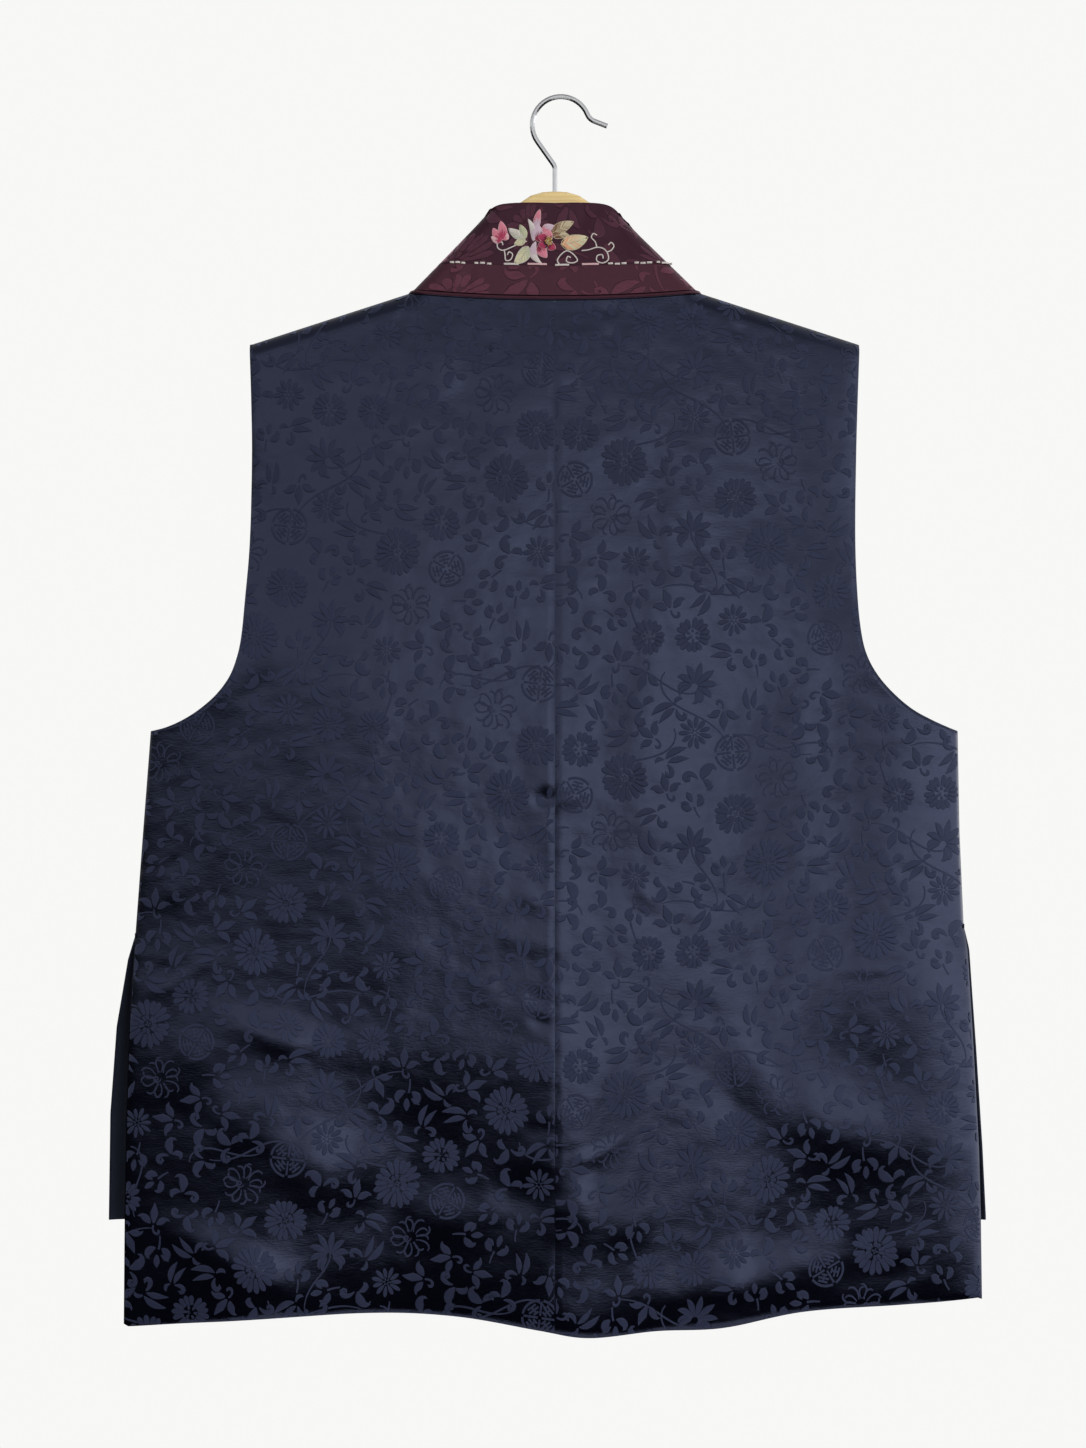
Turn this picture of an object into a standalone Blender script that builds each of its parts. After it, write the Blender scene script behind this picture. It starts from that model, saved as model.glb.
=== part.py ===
"""Silk waistcoat with a wide stand collar and side slits, hung flat on a wooden clothes hanger.

The model is in metres. +Z is up, the wearer would face -Y, and the wearer's left side is +X.
The origin is the inside of the hanger hook's crown, where a rail or a wall hook carries it.
Tables and sizes below are in millimetres. Their x runs outwards from the garment's own centre
line, and their z is the height in the part's frame, so it is negative below the hook.
"""

import math

import bmesh
import bpy
from mathutils import Vector

MM = 0.001

# Driving sizes of the hanger
WIRE_RADIUS = 1.9
HOOK_RADIUS = 21.3
HOOK_OFFSET = 4.44
BEND_HEIGHT = -50.0
BEND_RADIUS = 7.0
FLARE_RADIUS = 9.0
FLARE_LENGTH = 9.5
STEM_BOTTOM = -94.0
BORE_CLEARANCE = 0.4
BOARD_THICKNESS = 12.0
BOARD_ROUNDING = 4.5
BOARD_CLEARANCE = 2.5
BOARD_HALF_LENGTH = 214.0

# Driving sizes of the cut pieces
PANEL_THICKNESS = 1.6
COLLAR_THICKNESS = 2.0
PIPING_RADIUS = 1.1
SEAM_GAP = 0.3
CENTRE_GAP = 0.5
COLLAR_SEAM_GAP = 1.3
SEAM_END_GAP = 0.7
NECK_SEAM_CLEARANCE = 0.95
SHOULDER_TIP = (226.0, -183.0)
NECK_POINT = (107.2, -144.6)
COLLAR_CORNER = (49.0, -84.6)
BACK_NECK_DIP = 4.6
RIGHT_CORNER_DROP = 3.6
RIGHT_CORNER_REACH = 1.6
ARMPIT_Z = -470.0
ARMHOLE_SWELL_TOP = -290.0
FRONT_ARMHOLE_MORE = 1.6
COLLAR_END = -390.0
COLLAR_END_WIDTH = 70.0
FRONT_EDGE_GAP = 1.2
FRONT_HEM = -834.5
FRONT_HEM_DIP = 5.0
EDGE_RADIUS = 9.0
RIM_DEPTH = 0.35
LOWER_COLLAR_SHARE = 0.34

# Slit top on each side
SLIT_TOP = {"left": -621.0, "right": -614.0}

# Edge of the armhole from the shoulder tip to the armpit: height, then half width on each side
ARMHOLE = (
    (-183.0, 226.4, 225.8),
    (-225.0, 225.0, 224.2),
    (-268.0, 224.4, 223.0),
    (-330.0, 225.8, 222.2),
    (-373.0, 229.2, 223.8),
    (-400.0, 231.8, 226.8),
    (-416.0, 235.2, 231.4),
    (-430.0, 240.8, 239.6),
    (-443.0, 250.6, 251.4),
    (-454.0, 263.4, 265.0),
    (-462.0, 276.4, 280.0),
    (-467.5, 289.4, 292.6),
    (-470.0, 300.4, 299.4),
)

# Side edge from the armpit to the hem: height, then half width of the back and of the front
SIDE_EDGES = {
    "left": (
        (-470.0, 300.4, 300.4),
        (-545.0, 306.2, 306.2),
        (-621.0, 311.8, 311.8),
        (-640.0, 313.0, 317.6),
        (-690.0, 316.0, 326.4),
        (-755.0, 317.8, 331.4),
        (-832.0, 319.0, 332.6),
        (-912.0, 319.6, 332.6),
    ),
    "right": (
        (-470.0, 299.4, 299.4),
        (-545.0, 300.8, 300.8),
        (-614.0, 303.8, 303.8),
        (-632.0, 306.4, 308.2),
        (-705.0, 310.6, 313.8),
        (-780.0, 314.4, 318.8),
        (-832.0, 315.8, 321.4),
        (-912.0, 316.8, 322.0),
    ),
}

# Back hem: signed x (the wearer's left is positive) and height
BACK_HEM = (
    (-317.0, -889.4),
    (-252.0, -894.6),
    (-180.0, -898.6),
    (-122.0, -909.6),
    (-74.0, -911.8),
    (-25.0, -916.2),
    (12.0, -911.0),
    (75.0, -901.6),
    (150.0, -899.8),
    (254.0, -905.8),
    (320.0, -911.2),
)

# How far the cloth stands from the hanger's plane: height, middle and edge of the back,
# then middle and edge of the front
STANDS_OUT = (
    (-70.0, 9.0, 8.0, 9.0, 8.0),
    (-115.0, 10.4, 8.0, 9.8, 8.0),
    (-150.0, 12.2, 8.0, 10.6, 8.0),
    (-190.0, 14.2, 8.2, 11.4, 8.0),
    (-250.0, 16.6, 8.6, 12.6, 8.2),
    (-350.0, 19.4, 8.6, 14.0, 8.2),
    (-430.0, 21.2, 6.4, 14.8, 6.2),
    (-470.0, 22.0, 2.0, 15.2, 2.0),
    (-618.0, 24.0, 2.0, 16.4, 2.0),
    (-660.0, 24.6, 4.2, 16.6, 4.6),
    (-760.0, 25.4, 6.6, 17.0, 8.0),
    (-920.0, 26.0, 8.0, 17.0, 9.0),
)
BULGE_SHARPNESS = 3.2
BULGE_ROUNDNESS = 0.6

# Largest soft folds of the back: upper end, lower end, half width and how far each stands out
BACK_FOLDS = (
    ((-8.0, -640.0), (-26.0, -930.0), 44.0, 7.5),
    ((96.0, -700.0), (118.0, -930.0), 52.0, -6.0),
    ((214.0, -660.0), (236.0, -930.0), 46.0, 5.0),
    ((-130.0, -720.0), (-150.0, -930.0), 34.0, 4.5),
    ((-222.0, -650.0), (-236.0, -930.0), 48.0, -5.5),
    ((-104.0, -230.0), (-62.0, -480.0), 16.0, 2.4),
)
FRONT_FOLDS = (
    ((118.0, -420.0), (132.0, -850.0), 40.0, 4.0),
    ((-120.0, -420.0), (-150.0, -850.0), 42.0, 4.0),
    ((232.0, -600.0), (250.0, -850.0), 36.0, -3.5),
    ((-226.0, -600.0), (-240.0, -850.0), 36.0, -3.5),
)
FOLD_FADE = 0.35

# Collar from the middle of the back over the neck point to its end on the chest:
# x and z of the seam, then x and z of the free edge. The row at NECK_POINT is the fold.
COLLAR_ROWS = (
    (0.0, -149.2, 0.0, -78.6),
    (30.0, -148.9, 15.0, -78.3),
    (60.0, -147.8, 28.5, -78.5),
    (84.0, -146.3, 38.5, -79.4),
    (98.0, -145.2, 45.0, -81.4),
    (NECK_POINT[0], NECK_POINT[1], COLLAR_CORNER[0], COLLAR_CORNER[1]),
    (107.6, -150.0, 49.2, -90.5),
    (106.6, -162.0, 47.4, -103.6),
    (103.0, -190.0, 41.5, -137.0),
    (96.0, -240.0, 31.5, -197.0),
    (84.5, -315.0, 15.5, -290.0),
    (FRONT_EDGE_GAP + COLLAR_END_WIDTH, COLLAR_END, FRONT_EDGE_GAP, COLLAR_END),
)
FOLD_ROW = 5
COLLAR_STOPS = (
    (0.0, 0.75, 1.5, 2.2, 2.8, 3.3, 3.7, 4.0, 4.3, 4.6, 4.8, 4.92, 5.0)
    + (5.15, 5.37, 5.73, 6.2, 6.8, 7.4, 8.0, 8.5, 9.0, 9.5, 10.0, 10.5, 11.0)
)

# Columns of a panel as shares: from the middle to the neck column, then on to the side
BACK_INNER = (0.0, 0.2, 0.4, 0.58, 0.76, 0.9, 0.965, 1.0)
FRONT_INNER = (0.0, 0.34, 0.67, 1.0)
OUTER = (0.14, 0.3, 0.48, 0.66, 0.82, 0.92, 0.975, 1.0)

# Rows of a panel as shares: hem to slit top, slit top to armpit, armpit to shoulder
BELOW_SLIT = (0.0, 0.1, 0.22, 0.36, 0.5, 0.64, 0.78, 0.9, 0.96, 1.0)
BELOW_ARM = (0.22, 0.44, 0.66, 0.86, 1.0)
NOTCH_SHARE = 0.2443
BESIDE_ARM = (
    (0.014, 0.056, 0.12, 0.18, NOTCH_SHARE, 0.34, 0.45, 0.56, 0.66, 0.76)
    + (0.85, 0.92, 0.958, 0.982, 0.995, 1.0)
)

# Upper outline of the hanger's board from its hump to where the shoulder line takes over
BOARD_TOP = (
    (0.0, -68.8),
    (9.0, -69.4),
    (18.0, -72.0),
    (26.0, -77.4),
    (34.0, -84.6),
    (46.0, -96.0),
    (62.0, -111.0),
    (80.0, -128.0),
    (96.0, -143.6),
    (108.0, -151.6),
)
# Lower outline from under the shoulder's end back to the middle
BOARD_UNDERSIDE = (
    (209.0, -205.5),
    (196.0, -206.5),
    (160.0, -193.0),
    (112.0, -174.0),
    (66.0, -151.0),
    (32.0, -134.0),
    (0.0, -128.0),
)

# Colours: base colour, roughness, metallic
NAVY_SILK = ("navy_silk", (0.022, 0.028, 0.062, 1.0), 0.42, 0.0)
BURGUNDY_SILK = ("burgundy_silk", (0.095, 0.030, 0.048, 1.0), 0.45, 0.0)
PALE_WOOD = ("pale_wood", (0.86, 0.66, 0.30, 1.0), 0.45, 0.0)
STEEL_WIRE = ("steel_wire", (0.62, 0.63, 0.64, 1.0), 0.22, 1.0)


def mixed(low, high, share):
    """The value that lies this share of the way from low to high."""
    return low + (high - low) * share


def read_table(rows, at, column):
    """A column of a table, read in a straight line between the rows around a height or x."""
    ordered = sorted(rows)
    if at <= ordered[0][0]:
        return ordered[0][column]
    for lower, upper in zip(ordered, ordered[1:]):
        if at <= upper[0]:
            share = (at - lower[0]) / (upper[0] - lower[0])
            return mixed(lower[column], upper[column], share)
    return ordered[-1][column]


def read_curve(rows, at):
    """A smooth curve through the rows of a table, at a row number that may be a fraction."""
    index = min(int(at), len(rows) - 2)
    share = at - index
    before = rows[max(index - 1, 0)]
    after = rows[min(index + 2, len(rows) - 1)]
    values = []
    for a, b, c, d in zip(before, rows[index], rows[index + 1], after):
        slope_in = (c - a) / 2
        slope_out = (d - b) / 2
        rise = share * share * (3 - 2 * share)
        near = share * (1 - share) ** 2
        far = share * share * (share - 1)
        values.append(mixed(b, c, rise) + slope_in * near + slope_out * far)
    return values


def read_hem(x):
    """Height of the back hem at a signed x, on a smooth curve through its table."""
    for index, (lower, upper) in enumerate(zip(BACK_HEM, BACK_HEM[1:])):
        if x <= upper[0] or index == len(BACK_HEM) - 2:
            share = (x - lower[0]) / (upper[0] - lower[0])
            return read_curve(BACK_HEM, index + min(max(share, 0.0), 1.0))[1]
    return BACK_HEM[-1][1]


def armhole_x(z, side, layer):
    """Half width of the panel at a height beside the armhole. The front's hole is a little smaller."""
    steps = range(10 * (len(ARMHOLE) - 1) + 1)
    curve = [read_curve(ARMHOLE, step / 10) for step in steps]
    width = read_table(curve, z, 1 if side == "left" else 2)
    drop = (SHOULDER_TIP[1] - z) / (SHOULDER_TIP[1] - ARMPIT_Z)
    more = FRONT_ARMHOLE_MORE * 4 * drop * (1 - drop) if layer == "front" else 0.0
    return width + more


def side_x(z, side, layer):
    """Half width of the panel at a height, from the shoulder tip down to the hem."""
    if z > ARMPIT_Z:
        return armhole_x(z, side, layer)
    return read_table(SIDE_EDGES[side], z, 1 if layer == "back" else 2)


def hanging_half_width(z, side, layer):
    """Half width that the bulge of the cloth is spread over, which widens evenly to the armpit."""
    if z <= ARMPIT_Z:
        return side_x(z, side, layer)
    share = min(max((ARMHOLE_SWELL_TOP - z) / (ARMHOLE_SWELL_TOP - ARMPIT_Z), 0.0), 1.0)
    armpit_x = side_x(ARMPIT_Z, side, layer)
    return mixed(SHOULDER_TIP[0], armpit_x, share * share * (3 - 2 * share))


def shoulder_z(x):
    """Height of the shoulder line, which is straight from the neck point to the tip."""
    share = (x - NECK_POINT[0]) / (SHOULDER_TIP[0] - NECK_POINT[0])
    return mixed(NECK_POINT[1], SHOULDER_TIP[1], share)


def back_neck_z(x):
    """Height of the back neck seam."""
    share = min(x / NECK_POINT[0], 1.0)
    return NECK_POINT[1] - BACK_NECK_DIP * (1 - share * share)


def distance_to_stretch(x, z, start, end):
    """Distance in the hanger's plane from a point to a straight stretch."""
    along = (end[0] - start[0], end[1] - start[1])
    length = along[0] ** 2 + along[1] ** 2
    share = ((x - start[0]) * along[0] + (z - start[1]) * along[1]) / length
    share = min(max(share, 0.0), 1.0)
    return math.hypot(x - start[0] - share * along[0], z - start[1] - share * along[1])


def fold_height(x, z, folds):
    """How far the folds push the cloth out at a signed x and a height."""
    total = 0.0
    for top, bottom, half_width, height in folds:
        share = (top[1] - z) / (top[1] - bottom[1])
        if share <= 0:
            continue
        middle = mixed(top[0], bottom[0], min(share, 1.0))
        ramp = min(share / FOLD_FADE, 1.0)
        ramp = ramp * ramp * (3 - 2 * ramp) * mixed(0.45, 1.0, min(share, 1.0))
        total += height * ramp * math.exp(-(((x - middle) / half_width) ** 2))
    return total


def cloth_depth(x, z, side, layer, rim=0.0):
    """How far the outer face stands from the hanger's plane, at a distance x from the middle."""
    column = 1 if layer == "back" else 3
    middle = read_table(STANDS_OUT, z, column)
    edge = read_table(STANDS_OUT, z, column + 1)
    share = min(x / hanging_half_width(z, side, layer), 1.0)
    bulge = max(0.0, 1 - share**BULGE_SHARPNESS) ** BULGE_ROUNDNESS
    signed_x = x if side == "left" else -x
    folds = BACK_FOLDS if layer == "back" else FRONT_FOLDS
    depth = mixed(edge, middle, bulge) + fold_height(signed_x, z, folds) * min(1.0, 6 * (1 - share))
    corner_drop = RIGHT_CORNER_DROP if side == "right" else 0.0
    collar_corner = (COLLAR_CORNER[0], COLLAR_CORNER[1] - corner_drop)
    near = min(
        distance_to_stretch(x, z, SHOULDER_TIP, NECK_POINT),
        distance_to_stretch(x, z, NECK_POINT, collar_corner),
    )
    near = min(near + rim, EDGE_RADIUS)
    return depth * math.sqrt(1 - (1 - near / EDGE_RADIUS) ** 2)


def in_place(x, depth, z, side, layer):
    """A point of the garment, in metres in the part's frame."""
    signed_x = x if side == "left" else -x
    signed_y = depth if layer == "back" else -depth
    return Vector((signed_x + HOOK_OFFSET, signed_y, z)) * MM


def make_material(finish):
    """A plain Principled material in the piece's own colour."""
    name, colour, roughness, metallic = finish
    material = bpy.data.materials.get(name) or bpy.data.materials.new(name)
    material.use_nodes = True
    shader = material.node_tree.nodes["Principled BSDF"]
    shader.inputs["Base Color"].default_value = colour
    shader.inputs["Roughness"].default_value = roughness
    shader.inputs["Metallic"].default_value = metallic
    return material


def add_object(name, data, finish, collection):
    """Links an object with its material to a collection."""
    piece = bpy.data.objects.new(name, data)
    data.materials.append(make_material(finish))
    collection.objects.link(piece)
    return piece


def cloth_piece(name, columns, rows, place, thickness, finish, collection, kept=None, turned=False):
    """A grid laid out by place(column, row), with its wall added on the inner side."""
    grid = bmesh.new()
    bmesh.ops.create_grid(grid, x_segments=columns, y_segments=rows, size=1.0)
    if kept is not None:
        dropped = []
        for face in grid.faces:
            centre = face.calc_center_median()
            column = int((centre.x + 1) / 2 * columns)
            row = int((centre.y + 1) / 2 * rows)
            if not kept(column, row):
                dropped.append(face)
        bmesh.ops.delete(grid, geom=dropped, context="FACES")
    for vertex in grid.verts:
        column = round((vertex.co.x + 1) / 2 * columns)
        row = round((vertex.co.y + 1) / 2 * rows)
        vertex.co = place(column, row)
    if turned:
        bmesh.ops.reverse_faces(grid, faces=grid.faces)
    mesh = bpy.data.meshes.new(name)
    grid.to_mesh(mesh)
    grid.free()
    mesh.shade_smooth()
    piece = add_object(name, mesh, finish, collection)
    wall = piece.modifiers.new("wall", "SOLIDIFY")
    wall.thickness = thickness * MM
    wall.offset = -1.0
    wall.use_even_offset = True
    return piece


def panel_rows(side, layer, x, under_neck):
    """Heights of a panel's rows at x, from the hem to the top, also for columns under the neck."""
    signed_x = x if side == "left" else -x
    if layer == "back":
        hem = read_hem(signed_x)
    else:
        hem = FRONT_HEM - FRONT_HEM_DIP * max(0.0, 1 - (x / 200.0) ** 2)
    clear = PIPING_RADIUS + NECK_SEAM_CLEARANCE
    if not under_neck:
        top = shoulder_z(max(x, NECK_POINT[0] + clear))
    elif layer == "back":
        top = back_neck_z(x) - clear
    else:
        top = shoulder_z(NECK_POINT[0] + clear)
    slit = SLIT_TOP[side]
    heights = [mixed(hem, slit, share) for share in BELOW_SLIT]
    heights += [mixed(slit, ARMPIT_Z, share) for share in BELOW_ARM]
    heights += [mixed(ARMPIT_Z, top, share) for share in BESIDE_ARM]
    return heights


def neck_column_x(z, layer):
    """Where the column under the neck point runs: straight down the back, or beside the collar."""
    clear = PIPING_RADIUS + NECK_SEAM_CLEARANCE
    if layer == "back":
        return NECK_POINT[0] + clear
    steps = 10 * (len(COLLAR_ROWS) - 1 - FOLD_ROW)
    seam = [read_curve(COLLAR_ROWS, FOLD_ROW + step / 10)[1::-1] for step in range(steps + 1)]
    return read_table(seam, z, 1) + clear


def panel_layout(side, layer):
    """Outer face of a panel as a table of points, by column and row, and its neck column."""
    inner_shares = BACK_INNER if layer == "back" else FRONT_INNER
    first_x = CENTRE_GAP / 2 if layer == "back" else FRONT_EDGE_GAP
    neck_column = len(inner_shares) - 1
    row_count = len(BELOW_SLIT) + len(BELOW_ARM) + len(BESIDE_ARM)
    seam_rows = range(len(BELOW_SLIT) - 1, len(BELOW_SLIT) + len(BELOW_ARM))
    layout = {}
    for row in range(row_count):
        share_rows = panel_rows(side, layer, side_x(ARMPIT_Z, side, layer), False)
        edge_z = share_rows[row]
        if row >= seam_rows[-1]:
            tip = mixed(ARMPIT_Z, SHOULDER_TIP[1], ([0.0] + list(BESIDE_ARM))[row - seam_rows[-1]])
            edge_z = tip
        edge_x = side_x(edge_z, side, layer)
        neck_x = neck_column_x(panel_rows(side, layer, NECK_POINT[0], False)[row], layer)
        places = [(mixed(first_x, neck_x, share), True) for share in inner_shares[:-1]]
        places += [(neck_x, False)]
        places += [(mixed(neck_x, edge_x, share), False) for share in OUTER]
        for column, (x, inner) in enumerate(places):
            z = panel_rows(side, layer, x, inner)[row]
            if column == len(places) - 1:
                z = edge_z
            depth = cloth_depth(x, z, side, layer, RIM_DEPTH)
            layout[column, row] = (x, depth, z)
        turned_in = row in seam_rows
        x, depth, z = layout[len(places) - 1, row]
        if turned_in:
            gap = SEAM_END_GAP if row in (seam_rows[0], seam_rows[-1]) else SEAM_GAP / 2
            layout[len(places), row] = (x, gap, z)
        else:
            layout[len(places), row] = (x + 0.8, depth, z)
    columns = neck_column + len(OUTER) + 1
    for column in range(columns + 1):
        x, depth, z = layout[column, row_count - 1]
        if column >= neck_column:
            layout[column, row_count] = (x, SEAM_GAP / 2, z)
        else:
            layout[column, row_count] = (x, depth, z + 0.1)
    return layout, columns, row_count, neck_column


def make_panel(side, layer, collection):
    """One of the four body panels."""
    layout, columns, rows, neck_column = panel_layout(side, layer)
    notch_row = len(BELOW_SLIT) + len(BELOW_ARM) + BESIDE_ARM.index(NOTCH_SHARE)

    def place(column, row):
        x, depth, z = layout[column, row]
        return in_place(x, depth, z, side, layer)

    def kept(column, row):
        return layer == "back" or column >= neck_column or row < notch_row

    turned = (layer == "back") == (side == "left")
    name = f"{layer}_{side}"
    return cloth_piece(
        name, columns, rows, place, PANEL_THICKNESS, NAVY_SILK, collection, kept, turned
    )


def collar_point(stop, share):
    """A point on the collar's outer face. stop is signed, and share runs from seam to free edge."""
    side = "left" if stop >= 0 else "right"
    stop = abs(stop)
    seam_x, seam_z, edge_x, edge_z = read_curve(COLLAR_ROWS, stop)
    if side == "right":
        edge_z -= RIGHT_CORNER_DROP * math.exp(-(((stop - FOLD_ROW) / RIGHT_CORNER_REACH) ** 2))
    x = mixed(seam_x, edge_x, share)
    z = mixed(seam_z, edge_z, share)
    layer = "back" if stop <= FOLD_ROW else "front"
    return in_place(x, cloth_depth(x, z, side, layer), z, side, layer)


def collar_normal(stop, share):
    """The collar's outward direction, from points a little to each side."""
    step = 0.04
    along = collar_point(stop + step, share) - collar_point(stop - step, share)
    across = collar_point(stop, share + step) - collar_point(stop, share - step)
    return along.cross(across).normalized() * -1


def make_collar_band(name, low, high, strips, collection):
    """A band of the collar between two shares of its width, round from front end to front end."""
    stops = [-stop for stop in reversed(COLLAR_STOPS[1:])] + list(COLLAR_STOPS)

    def place(column, row):
        stop = stops[column]
        seam_x, seam_z, edge_x, edge_z = read_curve(COLLAR_ROWS, abs(stop))
        width = math.hypot(edge_x - seam_x, edge_z - seam_z)
        gap = COLLAR_SEAM_GAP if low else PIPING_RADIUS + NECK_SEAM_CLEARANCE
        first = low + gap / width
        return collar_point(stop, mixed(first, high, row / strips))

    return cloth_piece(
        name, len(stops) - 1, strips, place, COLLAR_THICKNESS, BURGUNDY_SILK, collection, turned=True
    )


def tube(name, points, radius, sides_setting, finish, collection):
    """A round wire or cord through the points, with closed ends."""
    data = bpy.data.curves.new(name, "CURVE")
    data.dimensions = "3D"
    data.bevel_depth = radius * MM
    data.bevel_resolution = sides_setting
    data.use_fill_caps = True
    spline = data.splines.new("POLY")
    spline.points.add(len(points) - 1)
    for target, point in zip(spline.points, points):
        target.co = (*point, 1.0)
    return add_object(name, data, finish, collection)


def make_piping(collection):
    """The covered cord in the neck seam, sunk by a third of its thickness."""
    stops = [-stop for stop in reversed(COLLAR_STOPS[1:])] + list(COLLAR_STOPS)
    stops[0] += 0.01
    stops[-1] -= 0.01
    sunk = PIPING_RADIUS * 0.7 * MM
    points = [collar_point(stop, 0.0) - collar_normal(stop, 0.02) * sunk for stop in stops]
    return tube("collar_piping", points, PIPING_RADIUS, 1, BURGUNDY_SILK, collection)


def arc(centre, radius, start, end, count):
    """Points along an arc in the hanger's plane, with its angles in radians."""
    angles = [mixed(start, end, index / count) for index in range(count + 1)]
    return [(centre[0] + radius * math.cos(a), centre[1] + radius * math.sin(a)) for a in angles]


def hook_line():
    """Centre line of the bent wire, from inside the board to its turned-out tip."""
    centre = (-HOOK_OFFSET, WIRE_RADIUS - HOOK_RADIUS)
    bend = (0.0, BEND_HEIGHT)
    reach = math.hypot(centre[0] - bend[0], centre[1] - bend[1])
    towards = math.atan2(centre[1] - bend[1], centre[0] - bend[0])
    lean = towards - math.asin(HOOK_RADIUS / reach)
    turn = math.pi / 2 - lean
    cut = BEND_RADIUS * math.tan(turn / 2)
    bend_centre = (BEND_RADIUS, BEND_HEIGHT - cut)
    line = [(0.0, STEM_BOTTOM), (0.0, mixed(STEM_BOTTOM, BEND_HEIGHT, 0.5))]
    line += arc(bend_centre, BEND_RADIUS, math.pi, math.pi - turn, 4)
    touch = lean - math.pi / 2
    open_end = math.radians(198.0)
    line += arc(centre, HOOK_RADIUS, touch, open_end - math.radians(40.0), 24)
    last = line[-1]
    heading = open_end - math.radians(40.0) + math.pi / 2
    flare_centre = (
        last[0] - FLARE_RADIUS * math.sin(heading) * -1,
        last[1] + FLARE_RADIUS * math.cos(heading) * -1,
    )
    start = math.atan2(last[1] - flare_centre[1], last[0] - flare_centre[0])
    line += arc(flare_centre, FLARE_RADIUS, start, start - math.radians(52.0), 5)[1:]
    before, tip = line[-2], line[-1]
    length = math.hypot(tip[0] - before[0], tip[1] - before[1])
    share = FLARE_LENGTH / length
    line.append((tip[0] + (tip[0] - before[0]) * share, tip[1] + (tip[1] - before[1]) * share))
    return line


def make_hook(collection):
    """The steel hook."""
    points = [Vector((x + HOOK_OFFSET, 0.0, z)) * MM for x, z in hook_line()]
    return tube("hanger_hook", points, WIRE_RADIUS, 3, STEEL_WIRE, collection)


def board_outline():
    """Half of the hanger board's outline, from the top of the hump round to the underside."""
    half = list(BOARD_TOP)
    for x in (130.0, 160.0, 190.0, BOARD_HALF_LENGTH - 7.0):
        half.append((x, shoulder_z(x) - BOARD_CLEARANCE))
    tip_z = shoulder_z(BOARD_HALF_LENGTH) - BOARD_CLEARANCE
    half += [(BOARD_HALF_LENGTH - 1.0, tip_z - 3.5), (BOARD_HALF_LENGTH, tip_z - 11.0)]
    half += list(BOARD_UNDERSIDE)
    return half


def make_board(collection, cutters):
    """The wooden board: a flat outline with rounded edges and a bore for the hook's stem."""
    data = bpy.data.curves.new("board_outline", "CURVE")
    data.dimensions = "2D"
    data.fill_mode = "BOTH"
    data.extrude = (BOARD_THICKNESS / 2 - BOARD_ROUNDING) * MM
    data.bevel_depth = BOARD_ROUNDING * MM
    data.offset = -BOARD_ROUNDING * MM
    data.bevel_resolution = 2
    half = board_outline()
    outline = half + [(-x, z) for x, z in reversed(half[1:-1])]
    spline = data.splines.new("POLY")
    spline.points.add(len(outline) - 1)
    for target, (x, z) in zip(spline.points, outline):
        target.co = (x * MM, z * MM, 0.0, 1.0)
    spline.use_cyclic_u = True
    guide = bpy.data.objects.new("board_guide", data)
    cutters.objects.link(guide)
    guide.rotation_euler = (math.pi / 2, 0.0, 0.0)
    guide.location = (HOOK_OFFSET * MM, 0.0, 0.0)
    bpy.context.view_layer.update()
    solid = bpy.data.meshes.new_from_object(guide.evaluated_get(bpy.context.evaluated_depsgraph_get()))
    solid.transform(guide.matrix_world)
    bpy.data.objects.remove(guide)
    welded = bmesh.new()
    welded.from_mesh(solid)
    bmesh.ops.remove_doubles(welded, verts=welded.verts, dist=0.00001)
    welded.to_mesh(solid)
    welded.free()
    solid.materials.clear()
    board = add_object("hanger_board", solid, PALE_WOOD, collection)
    depth = abs(STEM_BOTTOM) - 40.0
    bpy.ops.mesh.primitive_cylinder_add(
        vertices=16,
        radius=(WIRE_RADIUS + BORE_CLEARANCE) * MM,
        depth=depth * MM,
        location=(HOOK_OFFSET * MM, 0.0, (STEM_BOTTOM - BORE_CLEARANCE + depth / 2) * MM),
    )
    drill = bpy.context.object
    drill.name = "stem_drill"
    for owner in list(drill.users_collection):
        owner.objects.unlink(drill)
    cutters.objects.link(drill)
    drill.hide_render = True
    drill.display_type = "WIRE"
    bore = board.modifiers.new("stem_bore", "BOOLEAN")
    bore.operation = "DIFFERENCE"
    bore.object = drill
    return board


def main():
    """Clears the scene and builds the hanger and the waistcoat."""
    for leftover in list(bpy.data.objects):
        bpy.data.objects.remove(leftover)
    parts = bpy.data.collections.new("waistcoat_on_hanger")
    cutters = bpy.data.collections.new("cutters")
    bpy.context.scene.collection.children.link(parts)
    bpy.context.scene.collection.children.link(cutters)
    make_board(parts, cutters)
    make_hook(parts)
    for side in ("left", "right"):
        for layer in ("back", "front"):
            make_panel(side, layer, parts)
    make_collar_band("collar_lower", 0.0, LOWER_COLLAR_SHARE, 2, parts)
    make_collar_band("collar_upper", LOWER_COLLAR_SHARE, 1.0, 4, parts)
    make_piping(parts)


main()
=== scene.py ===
"""Looks of a silk damask waistcoat that hangs by a wooden clothes hanger, seen from its back.

Tables and sizes are in millimetres unless they say otherwise. A place on the garment is (x, z):
x runs from the garment's centre line towards the wearer's left, and z is the height, counted
from the inside of the hook's crown. Finished meshes are in metres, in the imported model's frame.
"""

import logging
import math
from dataclasses import dataclass, field, replace
from enum import Enum

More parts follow.
